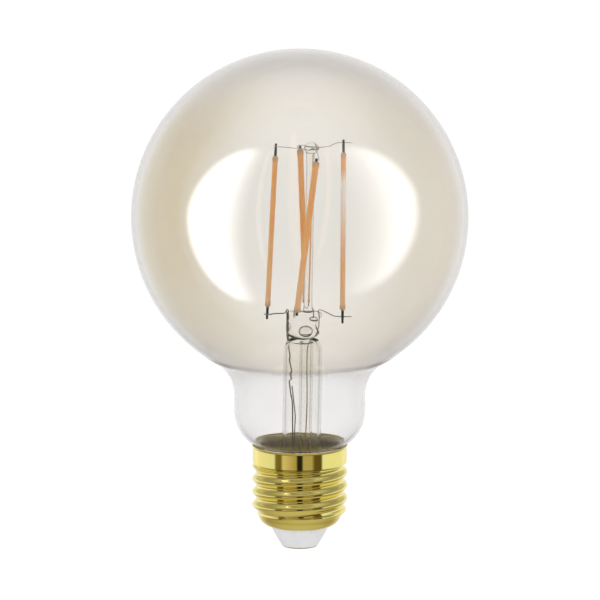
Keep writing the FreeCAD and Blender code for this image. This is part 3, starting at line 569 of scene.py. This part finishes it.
def tint_material():
    """Semi-mirror film: it passes warm light, deeper where it is seen at a slant, deeper on the left as
    painted shade, and mirrors a little. A soft darker line of painted shade follows its edge in front, and
    it pales at the top."""
    material, tree, output = new_material("warm_tint_film")
    across, along, up = position(tree)
    slant = add_node(tree, "LayerWeight")
    slant.inputs["Blend"].default_value = 0.5
    facing = slant.outputs["Facing"]
    film = ramp_node(tree, facing, [
        (0.0, (0.986, 0.98, 0.95)), (0.15, (0.985, 0.972, 0.93)), (0.32, (0.98, 0.955, 0.885)),
        (0.48, (0.985, 0.955, 0.88)), (0.62, (0.96, 0.93, 0.87)), *NO_TINT])
    # The deeper film colour below is painted shade, mixed in on the left side only.
    shaded_film = ramp_node(tree, facing, [
        (0.0, (0.986, 0.98, 0.95)), (0.15, (0.975, 0.955, 0.9)), (0.32, (0.92, 0.865, 0.74)),
        (0.48, (0.93, 0.88, 0.77)), (0.62, (0.95, 0.92, 0.83)), *NO_TINT])
    # Painted shade: the left side of the ball gets the deeper film colour, its edge wobbled by noise.
    shade_edge_wobble = math_node(tree, "MULTIPLY", noise(tree, 22.0, 2.0), 0.02)
    left_painted_shade = remap(tree, math_node(tree, "ADD", across, shade_edge_wobble), -0.026, 0.004, 1.0, 0.0)
    film = mix_colour(tree, left_painted_shade, film, shaded_film)
    film = mix_colour(tree, remap(tree, up, *PALE_TOP, 0.0, 0.9), film, (1.0, 0.985, 0.965))
    behind = remap(tree, along, -0.015, 0.01)
    blend = add_node(tree, "Mix")
    tree.links.new(behind, blend.inputs[0])
    tree.links.new(remap(tree, up, *FRONT_EDGE), blend.inputs[2])
    tree.links.new(remap(tree, up, *REAR_EDGE), blend.inputs[3])
    thickness = blend.outputs[0]
    passed = mix_colour(tree, thickness, WHITE, film)
    # Painted shade: a soft darker line along the film's front edge, weaker straight ahead and none behind.
    line = math_node(tree, "MULTIPLY", remap(tree, up, *SHADE_LINE_RISE),
                     remap(tree, up, *SHADE_LINE_FALL, 1.0, 0.0))
    beside = remap(tree, math_node(tree, "ABSOLUTE", across), 0.004, 0.022, 0.25, 1.0)
    line = math_node(tree, "MULTIPLY", line, beside)
    line = math_node(tree, "MULTIPLY", line, math_node(tree, "SUBTRACT", 1.0, behind))
    passed = mix_colour(tree, line, passed, (0.66, 0.61, 0.58))
    clear = add_node(tree, "BsdfTransparent")
    feed(tree, clear, color=passed)
    mirror = add_node(tree, "BsdfGlossy")
    feed(tree, mirror, color=(0.96, 0.97, 1.0), roughness=0.1)
    share = math_node(tree, "MULTIPLY", remap(tree, facing, 0.02, 0.35, 0.04, 0.09), thickness)
    mix_shaders(tree, share, clear, mirror, output)
    return material


tint = skin("ball_tint_film", tint_rings, "head", NEVER_SHARP)
tint.data.materials.append(tint_material())
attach(tint, "root")

# ----------------------------------------
# Glass stem. A drawn tube flared out at its foot to meet the neck end, pinched at its top into a flat
# press that grips the wires, with an exhaust tube inside and a rod and bead standing on the press.

stem_glass = clear_glass("stem_glass", 0.00002, (1.0, 0.995, 0.98), 1.3)
press_glass = clear_glass("press_glass", 0.00004, (1.0, 0.99, 0.97), 1.47)
STEM_AXIS = 0.5
TUBE_RADIUS, TUBE_WALL = 5.45, 0.9
TUBE_BORE = TUBE_RADIUS - TUBE_WALL


def lean_stem(rings, foot=30.0, lean=0.014):
    """The stem leans a little to one side: points shift across in proportion to height."""
    rings = rings.copy()
    rings[..., 0] += np.maximum(rings[..., 2] - foot, 0.0) * lean
    return rings


flare_outer = np.concatenate([
    [(11.0, 19.4), (11.0, 20.4), (10.0, 20.4)],
    arc((10.0, 20.4), (TUBE_RADIUS, 31.0), 14.6, -1, 18)[1:],
    [(TUBE_RADIUS, 40.0), (TUBE_RADIUS, 50.0), (TUBE_RADIUS, 55.5)],
    arc((TUBE_RADIUS, 55.5), (4.4, 59.2), 5.5, 1, 8)[1:],
])
flare_inner = np.concatenate([
    arc((10.1, 19.4), (TUBE_BORE, 31.0), 14.0, -1, 18),
    [(TUBE_BORE, 40.0), (TUBE_BORE, 50.0), (TUBE_BORE, 55.5)],
    arc((TUBE_BORE, 55.5), (3.5, 58.6), 4.6, 1, 8)[1:],
])
stem_rings = spun(np.concatenate([flare_outer, flare_inner[::-1]]), 96, (STEM_AXIS, 0.0))
stem_tube = skin("stem_flared_tube", lean_stem(stem_rings), "wrap", 50.0)
fit(stem_tube, stem_glass, "stem_flare_tube")

PRESS_FOOT, PRESS_HEIGHT = 59.25, 8.4


def boxy(half_width, half_depth, angle, power):
    """Across and along of a superellipse: a half size times the cosine or sine, whose size is raised to
    a power below one and whose sign is kept."""
    cosine, sine = np.cos(angle), np.sin(angle)
    return (half_width * np.sign(cosine) * np.abs(cosine) ** power,
            half_depth * np.sign(sine) * np.abs(sine) ** power)


def rounding(share, least):
    """A quarter circle down from 1: the root of 1 less the share squared, and of no less than least."""
    return np.sqrt(np.clip(1.0 - np.clip(share, 0.0, 1.0) ** 2, least, 1.0))


def press_rings(rows=44, columns=72):
    """The press: a rounded-box section that goes from a round bowl in the tube to a flat pinched blade,
    waisted and kneaded at its middle, with a softly domed top. Width and depth are functions of
    height, and the section is a superellipse whose power goes from round to boxy."""
    share = np.linspace(0.0, 1.0, rows)[:, None]
    angle = once_round(columns)[None, :]
    flat = ease(share / 0.5)
    close = rounding((share - 0.86) / 0.14, 0.0004)
    bowl = rounding(1.0 - share / 0.3, 0.0004)
    knead = 1.0 + 0.05 * np.sin(2.0 * angle + 9.0 * share) + 0.04 * np.sin(3.0 * angle - 13.0 * share)
    half_width = (4.4 + 0.4 * flat - 0.9 * np.sin(np.pi * share) ** 4) * (0.72 + 0.28 * close) * bowl * knead
    half_depth = (1.7 + 0.25 * np.sin(2.0 * np.pi * share)) * (0.25 + 0.75 * close) * bowl * knead
    power = 2.0 / (2.0 + 1.6 * flat)
    across, along = boxy(half_width, half_depth, angle, power)
    up = PRESS_FOOT + PRESS_HEIGHT * share + 0.0 * angle
    return np.stack([across + STEM_AXIS, along, up], axis=-1)


def void_rings(centre, half_sizes, rows=18, columns=36):
    """An ellipsoid whose rows run downward, so that it faces in, like the wall of a hollow in glass."""
    rise = np.linspace(0.49 * np.pi, -0.49 * np.pi, rows)[:, None]
    angle = once_round(columns)[None, :]
    across = np.cos(rise) * np.cos(angle)
    along = np.cos(rise) * np.sin(angle)
    return centre + np.stack([across, along, np.sin(rise) + 0.0 * angle], axis=-1) * half_sizes


exhaust_hole = void_rings(np.array([1.2, 0.0, 61.9]), np.array([2.0, 1.0, 1.5]))
trapped_void = void_rings(np.array([3.3, 0.1, 65.4]), np.array([1.15, 0.7, 0.8]))
press_stacks = [lean_stem(stack) for stack in (press_rings(), exhaust_hole, trapped_void)]
press = skin("stem_press_blade", press_stacks, "fan", 70.0)
fit(press, press_glass, "stem_press")

exhaust_profile = np.concatenate([
    arc((0.05, 17.0), (1.9, 18.9), 1.9, 1, 10),
    [(1.9, 30.0), (1.9, 45.0), (1.9, 58.4), (1.2, 58.4), (1.2, 45.0), (1.2, 30.0)],
    arc((1.2, 18.9), (0.05, 17.7), 1.2, -1, 8),
])
exhaust = skin("exhaust_glass_tube", lean_stem(spun(exhaust_profile, 48, (1.5, 1.1))), "fan", 50.0)
fit(exhaust, stem_glass, "exhaust_tube")

ROD_FOOT, ROD_HEAD = 67.4, 113.2


def rod_rings():
    """The rod leans from its foot on the press to the bead, and thickens softly at both ends."""
    share = np.linspace(0.0, 1.0, 60)[:, None]
    angle = once_round(40)[None, :]
    radius = 1.15 + 0.35 * np.exp(-share / 0.03) + 0.25 * np.exp(-(1.0 - share) / 0.03)
    middle = 2.3 + 0.75 * share
    up = ROD_FOOT + (ROD_HEAD - ROD_FOOT) * share
    return np.stack([middle + radius * np.cos(angle), radius * np.sin(angle), up + 0.0 * angle], axis=-1)


rod = skin("stem_glass_rod", rod_rings(), "fan", 50.0)
fit(rod, press_glass, "glass_rod")

bead_profile = np.concatenate([
    [(0.05, 112.9)],
    arc((1.3, 112.9), (2.2, 114.4), 1.9, 1, 10),
    arc((2.2, 114.4), (0.05, 116.1), 2.6, 1, 16)[1:],
])
bead = turned("rod_bead_glass", bead_profile, 64, (3.3, 0.0), 60.0)
fit(bead, press_glass, "rod_bead")


# ----------------------------------------
# Filaments. Each is a ceramic strip with a row of LED chips, wrapped in orange phosphor silicone whose
# ends swell round the metal end pins. The pins are spot-welded to the wires.

FILAMENT_SIDES = ("left", "right", "front", "rear")
COAT_LENGTH = 44.6
COAT_FOOT = 68.1
FEET = {"left": (-9.1, 3.5), "right": (12.05, -1.8), "front": (-0.8, -4.8), "rear": (1.75, 8.0)}
HEADS = {"left": (-6.85, -1.7), "right": (12.3, 4.5), "front": (4.6, -9.5), "rear": (0.1, 8.0)}
COAT_HALF_WIDTH = {"left": 0.72, "right": 0.72, "front": 0.86, "rear": 0.84}
COAT_HALF_DEPTH = 0.66
PIN_REACH = {"left": 3.6, "right": 3.6, "front": 0.9, "rear": 1.0}
PIN_GRIP = 0.6


def filament_ends(side):
    """Foot and head of a filament's coat; the head's height follows from the coat's length."""
    foot = np.array([*FEET[side], COAT_FOOT])
    lean = np.hypot(*(np.array(HEADS[side]) - FEET[side]))
    head = np.array([*HEADS[side], COAT_FOOT + math.sqrt(COAT_LENGTH ** 2 - lean ** 2)])
    return foot, head


def along_filament(side, sections):
    """Rings in a filament's own frame, (width, depth, distance up), moved to where it stands; its
    width is as near to +X as it can be."""
    foot, head = filament_ends(side)
    up_axis = (head - foot) / np.linalg.norm(head - foot)
    width_axis = np.array([1.0, 0.0, 0.0]) - up_axis * up_axis[0]
    width_axis /= np.linalg.norm(width_axis)
    depth_axis = np.cross(up_axis, width_axis)
    return (foot + sections[..., :1] * width_axis + sections[..., 1:2] * depth_axis
            + sections[..., 2:] * up_axis)


def coat_sections(seed, width):
    """The silicone coat: a rounded-box section, nearly even along the strip, swelling at both ends and
    closing in a dome; a slow ripple of a few hundredths of a millimetre makes it hand-dispensed."""
    generator = np.random.default_rng(seed)
    up = np.concatenate([
        np.linspace(0.0, 0.5, 10), np.linspace(0.7, 3.0, 10),
        np.linspace(4.0, COAT_LENGTH - 4.0, 60),
        np.linspace(COAT_LENGTH - 3.0, COAT_LENGTH - 0.7, 10),
        np.linspace(COAT_LENGTH - 0.5, COAT_LENGTH, 10)])
    up = up[:, None]
    angle = once_round(28)[None, :]
    nearest = np.minimum(up, COAT_LENGTH - up)
    dome = rounding(1.0 - nearest / 0.55, 0.12)
    swell = 1.0 + 0.16 * np.exp(-((nearest - 1.0) / 0.8) ** 2)
    phases = generator.uniform(0.0, 2.0 * np.pi, 3)
    ripple = 1.0 + 0.015 * np.sin(0.9 * up + phases[0]) + 0.01 * np.sin(2.3 * up + phases[1])
    half_width = width * dome * swell * ripple
    half_depth = COAT_HALF_DEPTH * dome * swell
    power = 2.0 / 2.6
    across, along = boxy(half_width, half_depth, angle, power)
    return np.stack([across, along, up + 0.0 * angle], axis=-1)


# Spans, in metres, over which the coats' colour changes: upward for the painted reflection at the foot, the
# painted highlight and the browner ends, and across for the right-hand one, the only one with the painted
# highlight.
PAINTED_REFLECTION_FOOT = (0.07, 0.092)
HIGHLIGHT_START, HIGHLIGHT_END = (0.08, 0.1), (0.104, 0.108)
RIGHT_HAND = (0.01, 0.011)
BROWN_FOOT, BROWN_HEAD = (0.0684, 0.07), (0.1104, 0.112)


def coat_material():
    """Orange silicone: fine phosphor grain, with painted reflection that pales it toward the foot, painted
    highlight along a stretch of the right filament, and browner where the ends thin."""
    material, tree, output = new_material("phosphor_silicone")
    shader = add_node(tree, "BsdfPrincipled")
    grain = noise(tree, 2600.0, 2.0, 0.6)
    flow = noise(tree, 160.0, 2.0, 0.5, (1.0, 1.0, 0.3))
    colour = ramp_node(tree, grain, [(0.35, (0.88, 0.41, 0.13)), (0.65, (0.95, 0.49, 0.19))])
    colour = mix_colour(tree, remap(tree, flow, 0.4, 0.7, 0.0, 0.4), colour, (0.95, 0.56, 0.26))
    across, _, up = position(tree)
    # Painted reflection: the coat pales toward the foot, as if the film's haze lay over it.
    colour = mix_colour(tree, remap(tree, up, *PAINTED_REFLECTION_FOOT, 0.7, 0.0), colour, (0.95, 0.66, 0.42))
    # Painted highlight: a pale stretch along the right filament, where glare lies on it.
    painted_highlight = math_node(tree, "MULTIPLY", remap(tree, up, *HIGHLIGHT_END, 1.0, 0.0),
                         remap(tree, up, *HIGHLIGHT_START))
    painted_highlight = math_node(tree, "MULTIPLY", painted_highlight, remap(tree, across, *RIGHT_HAND))
    colour = mix_colour(tree, painted_highlight, colour, (1.0, 0.9, 0.84))
    foot_end = remap(tree, up, *BROWN_FOOT, 1.0, 0.0)
    head_end = remap(tree, up, *BROWN_HEAD)
    ends = math_node(tree, "MAXIMUM", foot_end, head_end)
    colour = mix_colour(tree, math_node(tree, "MULTIPLY", ends, 0.7), colour, (0.46, 0.36, 0.24))
    feed(tree, shader, base_color=colour, normal=bump(tree, grain, 0.00001),
         roughness=remap(tree, grain, NOISE_LOW, NOISE_HIGH, 0.32, 0.48),
         subsurface_weight=0.25, subsurface_radius=(1.0, 0.5, 0.2), subsurface_scale=0.0006)
    feed(tree, output, surface=shader.outputs[0])
    return material


def pin_sections(low, high, half_width=0.37, half_depth=0.125):
    """A flat pin with rounded corners, slightly narrowed at its free end."""
    up = np.linspace(low, high, 12)[:, None]
    angle = once_round(20)[None, :]
    free = np.clip(np.abs(up - COAT_LENGTH / 2.0) - COAT_LENGTH / 2.0 - 2.0, 0.0, 0.5)
    width = half_width * (1.0 - 0.3 * free)
    power = 2.0 / 5.0
    across, along = boxy(width, half_depth, angle, power)
    return np.stack([across, along + 0.0 * up, up + 0.0 * angle], axis=-1)


coat_finish = coat_material()
pin_steel = surface("pin_steel", ((0.1, 0.095, 0.09), (0.22, 0.21, 0.2)), 1500.0, (0.25, 0.42),
                    metallic=1.0, bump_depth=0.000005)
for seed, side in enumerate(FILAMENT_SIDES):
    coat_rings = along_filament(side, coat_sections(seed, COAT_HALF_WIDTH[side]))
    coat = skin(f"filament_{side}_silicone", coat_rings, "fan", 60.0)
    fit(coat, coat_finish, f"filament_{side}_coat")
    foot_pin = along_filament(side, pin_sections(-PIN_REACH[side], PIN_GRIP))
    head_pin = along_filament(side, pin_sections(COAT_LENGTH - PIN_GRIP, COAT_LENGTH + PIN_REACH[side]))
    pins = skin(f"filament_{side}_pins", [foot_pin, head_pin], "fan", 40.0)
    fit(pins, pin_steel, f"filament_{side}_end_pins")

# ----------------------------------------
# Wires. Two bridge wires cross in the bead and join the filaments in pairs. Two leads come up the
# stem through the press, bend outwards and carry the side filaments; two short feeds carry the
# others. All were bent by hand and show it.

def smooth_path(points, per_span=10):
    """A Catmull-Rom curve through the points: each span blends the tangents of its neighbours."""
    points = np.asarray(points, float)
    padded = np.concatenate([2.0 * points[:1] - points[1:2], points, 2.0 * points[-1:] - points[-2:-1]])
    share = np.linspace(0.0, 1.0, per_span, endpoint=False)[None, :, None]
    before, start, finish, after = (padded[k:len(padded) - 3 + k, None, :] for k in range(4))
    curve = 0.5 * (2.0 * start + (finish - before) * share
                   + (2.0 * before - 5.0 * start + 4.0 * finish - after) * share ** 2
                   + (3.0 * start - before - 3.0 * finish + after) * share ** 3)
    return np.concatenate([curve.reshape(-1, 3), points[-1:]])


PRESS_TOP = 67.0
STRAP_START, STRAP_END, STRAP_LEFT = 58.5, 67.2, -3.9
WIRE_EASE = 1.5


def wire_rings(points, radius, strap=0.0, columns=14):
    """A round wire along a path: circles in the plane across the path's tangent, a quarter thinner
    above the press and rounded off at both ends. The strap is the radius that the wire gains inside
    the press, where it is clad in foil."""
    path = smooth_path(points)
    tangent = np.gradient(path, axis=0)
    tangent /= np.linalg.norm(tangent, axis=1, keepdims=True)
    side = np.cross(tangent, [0.0, 1.0, 0.0])
    weak = np.linalg.norm(side, axis=1) < 0.2
    side[weak] = np.cross(tangent[weak], [1.0, 0.0, 0.0])
    side /= np.linalg.norm(side, axis=1, keepdims=True)
    other = np.cross(tangent, side)
    angle = once_round(columns)
    height = path[:, 2]
    reach = radius * (1.0 - 0.25 * ease((height - PRESS_TOP) / WIRE_EASE))
    reach[[0, -1]] *= 0.6
    clad = ease((height - STRAP_START) / WIRE_EASE) * ease(STRAP_END - height)
    reach += strap * clad * (path[:, 0] > STRAP_LEFT)
    wave = 1.0 + 0.04 * np.sin(np.linspace(0.0, 19.0, len(path)))
    circle = (side[:, None, :] * np.cos(angle)[None, :, None]
              + other[:, None, :] * np.sin(angle)[None, :, None])
    return path[:, None, :] + circle * (reach * wave)[:, None, None]


def weld_point(side, end_name, part_way):
    """A point on a filament's pin, a given part of the way out from the coat."""
    foot, head = filament_ends(side)
    up = (head - foot) / np.linalg.norm(head - foot)
    reach = PIN_REACH[side] * part_way
    return foot - up * reach if end_name == "foot" else head + up * reach


def wire(name, node, points, radius, material, strap=0.0):
    """Make a wire that stands for a CAD node."""
    fit(skin(name, wire_rings(points, radius, strap), "fan", 70.0), material, node)


THIN_WIRE = 0.13
nickel = surface("nickel_wire", ((0.42, 0.37, 0.32), (0.6, 0.54, 0.48)), 900.0, (0.3, 0.5), metallic=0.35,
                 bump_depth=0.00001)
dull_lead = surface("oxidised_lead_wire", ((0.2, 0.17, 0.14), (0.38, 0.335, 0.28)), 700.0, (0.35, 0.55),
                    metallic=0.3, bump_depth=0.00001)
# How far a wire's middle stands from a pin's middle, where it is welded to its face or its edge.
FACE = np.array([0.0, 0.36, 0.0])
EDGE = np.array([0.6, 0.0, 0.0])
LEAD_FACE = FACE * 1.28
left_top = weld_point("left", "head", 0.74) - FACE
front_top = weld_point("front", "head", 0.45) + EDGE
wire("bridge_wire_front", "top_bridge_wire_front", [
    left_top + [-0.8, 0.0, 0.0], left_top + [1.2, 0.0, 0.05], (-2.0, -1.2, 114.5), (0.3, -1.1, 114.3),
    (2.2, -0.9, 114.0), (4.3, -0.8, 114.0), front_top + [0.1, 2.6, 0.2], front_top + [0.0, 0.9, 0.05],
    front_top + [0.1, -1.1, 0.1]], THIN_WIRE, nickel)
rear_top = weld_point("rear", "head", 0.7) - EDGE
right_top = weld_point("right", "head", 0.72) + FACE
wire("bridge_wire_rear", "top_bridge_wire_rear", [
    rear_top + [0.0, 1.0, 0.1], rear_top + [0.0, -1.4, 0.0], (1.0, 3.0, 114.6), (2.2, 0.9, 114.2),
    (4.6, 0.7, 114.1), (6.2, 0.9, 114.4), (8.2, 2.6, 114.3), right_top + [-1.6, 0.0, 0.05],
    right_top + [2.3, 0.0, 0.1]], THIN_WIRE, nickel)

left_foot = weld_point("left", "foot", 0.62) - LEAD_FACE
wire("lead_wire_left_bent", "lead_wire_left", [
    (-1.9, -1.2, 14.1), (-1.9, -1.2, 26.4), (-2.0, -1.2, 36.0), (-2.05, -1.2, 41.7), (-2.5, -1.1, 44.8),
    (-2.85, -0.9, 48.6), (-2.75, -0.85, 49.5), (-2.3, -0.8, 50.4), (-2.85, -0.5, 53.4), (-2.75, -0.4, 54.8),
    (-3.1, 0.0, 57.0), (-3.4, 0.0, 60.5), (-3.45, 0.0, 64.0), (-3.2, 0.0, 67.3), (-3.6, 0.2, 68.0),
    (-4.3, 0.6, 66.9), left_foot + [2.4, 0.0, 0.35], left_foot + [0.8, 0.0, 0.1],
    left_foot + [-0.9, 0.0, 0.15]], 0.18, dull_lead, 0.2)
right_foot = weld_point("right", "foot", 0.5) + LEAD_FACE
wire("lead_wire_right_bent", "lead_wire_right", [
    (1.6, -2.6, 14.1), (1.6, -2.5, 30.0), (2.0, -2.3, 42.0), (2.0, -2.2, 54.0), (2.4, -1.4, 58.3),
    (4.2, -0.4, 60.6), (5.3, 0.0, 63.0), (5.4, 0.0, 65.5), (5.2, 0.0, 67.6), (5.9, 0.0, 67.9),
    (7.6, 0.0, 67.2), right_foot + [-2.4, 0.0, 0.2], right_foot + [0.2, 0.0, 0.0],
    right_foot + [2.6, 0.0, 0.0]], 0.15, nickel)
front_foot = weld_point("front", "foot", 0.5) - EDGE
wire("feed_wire_front_bent", "feed_wire_front", [
    (-1.6, -0.4, 65.8), (-1.6, -0.4, 67.6), (-1.6, -1.2, 68.2), front_foot + [0.0, 1.6, 0.7],
    front_foot + [0.0, 0.7, 0.1], front_foot + [0.0, -0.8, 0.0]], THIN_WIRE, nickel)
rear_foot = weld_point("rear", "foot", 0.5) + EDGE
wire("feed_wire_rear_bent", "feed_wire_rear", [
    (3.8, 0.7, 65.8), (3.8, 0.8, 67.8), (3.4, 1.9, 68.3), (rear_foot[0] + 0.2, 3.8, 67.4),
    rear_foot + [0.0, -1.4, 0.0], rear_foot + [0.0, 0.9, 0.0]], THIN_WIRE, nickel)

# ----------------------------------------
# Driver and chips. The round board and its parts sit in the cap, and the strips and chips in the coats.
# They keep the shape that they have in the frame; each gets the finish of the real part.

def finish_node(node, material):
    """Give a carried-over node a finish in every material slot it has."""
    piece = nodes[node]
    if not piece.data.materials:
        piece.data.materials.append(material)
    for slot in piece.material_slots:
        slot.material = material


FINISHES = (
    (("driver_board", "radio_board"), "solder_mask_green", ((0.012, 0.1, 0.04), (0.02, 0.15, 0.06)),
     500.0, (0.35, 0.5), {"coat_weight": 0.3}),
    (("driver_sleeve",), "insulating_film", ((0.7, 0.7, 0.64), (0.78, 0.78, 0.73)),
     300.0, (0.4, 0.55), {}),
    (("driver_chip", "bridge_rectifier", "switching_transistor", "board_resistors"), "moulded_epoxy",
     ((0.012, 0.012, 0.013), (0.03, 0.03, 0.03)), 1500.0, (0.5, 0.7), {"bump_depth": 0.00002}),
    (("smoothing_capacitor",), "capacitor_sleeve", ((0.012, 0.014, 0.03), (0.02, 0.024, 0.05)),
     400.0, (0.2, 0.35), {}),
    (("fusible_resistor",), "lacquered_barrel", ((0.25, 0.33, 0.38), (0.32, 0.4, 0.44)),
     800.0, (0.3, 0.45), {}),
    (("inductor_core",), "sintered_ferrite", ((0.02, 0.019, 0.018), (0.045, 0.043, 0.04)),
     1200.0, (0.5, 0.75), {"bump_depth": 0.00003}),
    (("inductor_winding",), "enamelled_copper", ((0.5, 0.2, 0.07), (0.62, 0.28, 0.11)),
     2000.0, (0.2, 0.35), {"metallic": 1.0, "stretch": (1.0, 1.0, 14.0), "bump_depth": 0.00005}),
    (("radio_shield",), "tinned_steel", ((0.5, 0.5, 0.49), (0.62, 0.62, 0.61)),
     600.0, (0.2, 0.38), {"metallic": 1.0}),
    (("board_capacitors",), "fired_ceramic", ((0.42, 0.29, 0.15), (0.52, 0.38, 0.22)),
     1500.0, (0.35, 0.5), {}),
    (("live_wire", "neutral_wire"), "silicone_insulation", ((0.62, 0.61, 0.58), (0.72, 0.71, 0.69)),
     500.0, (0.35, 0.5), {}),
    ([f"filament_{side}_strip" for side in FILAMENT_SIDES], "sintered_strip",
     ((0.8, 0.79, 0.75), (0.88, 0.87, 0.84)), 900.0, (0.4, 0.6), {}),
    ([f"filament_{side}_chips" for side in FILAMENT_SIDES], "led_crystal",
     ((0.1, 0.16, 0.4), (0.16, 0.24, 0.55)), 1500.0, (0.1, 0.2), {}),
)
for carried, name, colours, grain, roughness, extra in FINISHES:
    finish = surface(name, colours, grain, roughness, **extra)
    for node in carried:
        finish_node(node, finish)
finish_node("antenna_wire", dull_lead)
finish_node("board_solder_joints", solder_metal)


# ----------------------------------------
# Screens. Two tall softboxes with feathered inner edges stand at the front left and right for the
# film on the ball; a round of light and dark cloth stands about the cap for the brass.

def glow_material(name, pattern, strength):
    """Light that adds to what stands behind it, so that it hides nothing."""
    material, tree, output = new_material(name)
    glow = add_node(tree, "Emission")
    feed(tree, glow, color=pattern(tree), strength=strength)
    clear = add_node(tree, "BsdfTransparent")
    both = add_node(tree, "AddShader")
    tree.links.new(glow.outputs[0], both.inputs[0])
    tree.links.new(clear.outputs[0], both.inputs[1])
    feed(tree, output, surface=both.outputs[0])
    material.cycles.emission_sampling = "NONE"
    return material


def hang(screen, cloth, receivers):
    """Give a screen its cloth, and let only some pieces see it."""
    screen.data.materials.append(cloth)
    hide_from(screen, ("camera", "transmission", "diffuse", "shadow"))
    group = bpy.data.collections.new(f"{screen.name}_sees")
    for receiver in receivers:
        group.objects.link(receiver)
    screen.light_linking.receiver_collection = group


def softbox(name, turn, half_width, low, high, inner_fade, strength, tone):
    """A flat upright screen facing the ball, from a low to a high edge in metres from the ball's
    centre. Its outer edge is half an oval and its inner edge fades out."""
    distance = 0.5
    margin = 1.2
    curve = 1.5
    toward = Vector((math.sin(turn), -math.cos(turn), 0.0))
    right = Vector((math.cos(turn), math.sin(turn), 0.0))
    middle = Vector((0.0, 0.0, BALL_CENTRE * MM + (low + high) / 2.0)) + toward * distance
    half_height = (high - low) / 2.0
    corners = [middle + right * (half_width * u) + Vector((0.0, 0.0, half_height * v))
               for u, v in ((-margin, -margin), (margin, -margin), (margin, margin), (-margin, margin))]
    mesh = bpy.data.meshes.new(name)
    mesh.from_pydata([tuple(corner) for corner in corners], [], [(0, 1, 2, 3)])
    layout = mesh.uv_layers.new(name="place")
    layout.data.foreach_set("uv", [-margin, -margin, margin, -margin, margin, margin, -margin, margin])
    screen = add_object(name, mesh)
    outward = 1.0 if turn > 0.0 else -1.0

    def pattern(tree):
        """White cloth inside the oval, fading toward the inner edge, and black outside it."""
        place = add_node(tree, "UVMap")
        place.uv_map = "place"
        split = add_node(tree, "SeparateXYZ")
        tree.links.new(place.outputs["UV"], split.inputs[0])
        u = math_node(tree, "MULTIPLY", split.outputs[0], outward)
        along = math_node(tree, "MULTIPLY", math_node(tree, "ADD", u, 1.0), 0.5)
        outer = math_node(tree, "POWER", math_node(tree, "MAXIMUM", along, 0.0), curve)
        upper = math_node(tree, "POWER", math_node(tree, "ABSOLUTE", split.outputs[1]), curve)
        reach = math_node(tree, "ADD", outer, upper)
        oval = remap(tree, reach, 0.8, 1.0, 1.0, 0.0)
        feather = remap(tree, along, 0.0, inner_fade)
        level = math_node(tree, "MULTIPLY", oval, math_node(tree, "POWER", feather, curve))
        return mix_colour(tree, level, (0.0, 0.0, 0.0), tone)

    hang(screen, glow_material(f"{name}_cloth", pattern, strength), (tint,))


def brass_surround():
    """A large ball round the cap whose inside carries the pattern that the brass mirrors: bright
    walls, dark gaps beside the two front screens, a narrow black gap straight ahead, and thin dark
    lines below and above eye level."""
    reach = 900.0
    middle = np.array([0.0, 0.0, 18.0])
    surround = skin("brass_surround", void_rings(middle, reach, 25, 48))

    def pattern(tree):
        """Walls at eye level, a floor and ceiling beyond them, all darkened along two lines."""
        place = add_node(tree, "TexCoord")
        share, height = direction_angles(tree, place.outputs["Object"], middle * MM)
        walls = turn_ramp(tree, share, [
            (-180, 0.05), (-152, 0.15), (-130, 0.6), (-65, (0.85, 0.86, 0.92)),
            (-61, (0.2, 0.16, 0.03)), (-47, (0.18, 0.13, 0.02)), (-41, (0.74, 0.66, 0.55)),
            (-8, (0.44, 0.36, 0.16)), (-6, 0.0), (6, 0.0), (8, (0.5, 0.44, 0.28)),
            (29, (0.5, 0.44, 0.28)), (36, (0.12, 0.08, 0.01)), (54, (0.11, 0.07, 0.01)),
            (58, (0.92, 0.98, 1.0)), (130, 0.55), (152, 0.15), (180, 0.05)])
        edge = turn_ramp(tree, share, [
            (-180, 0.5), (-60, 0.22), (-32, 0.08), (32, 0.08), (60, 0.22),
            (180, 0.5)])
        line = rise_ramp(tree, height, [
            (-90, 0.0), (-31, 0.0), (-26, 1.0), (-20, 1.0), (-16, 0.0),
            (10, 0.0), (15, 1.0), (21, 1.0), (27, 0.0), (90, 0.0)])
        floor_glow = rise_ramp(tree, height, [
            (-90, (0.52, 0.48, 0.35)), (-60, (0.46, 0.41, 0.28)),
            (-36, (0.2, 0.15, 0.04)), (10, (0.2, 0.16, 0.08)),
            (60, (0.08, 0.06, 0.02)), (90, 0.0)])
        open_part = rise_ramp(tree, height, [
            (-90, 1.0), (-30, 1.0), (-20, 0.0), (14, 0.0), (34, 1.0),
            (90, 1.0)])
        seen = mix_colour(tree, open_part, walls, floor_glow)
        darkened = mix_colour(tree, line, WHITE, edge)
        return mix_colour(tree, 1.0, seen, darkened, "MULTIPLY")

    hang(surround, glow_material("surround_cloth", pattern, 1.0), (cap_shell, contact, solder_tip))


softbox("softbox_left", math.radians(-58.0), 0.222, -0.62, 0.74, 0.42, 11.0, WHITE)
softbox("softbox_right", math.radians(59.5), 0.295, -0.55, 0.8, 0.6, 6.0, (1.0, 0.985, 0.95))
brass_surround()
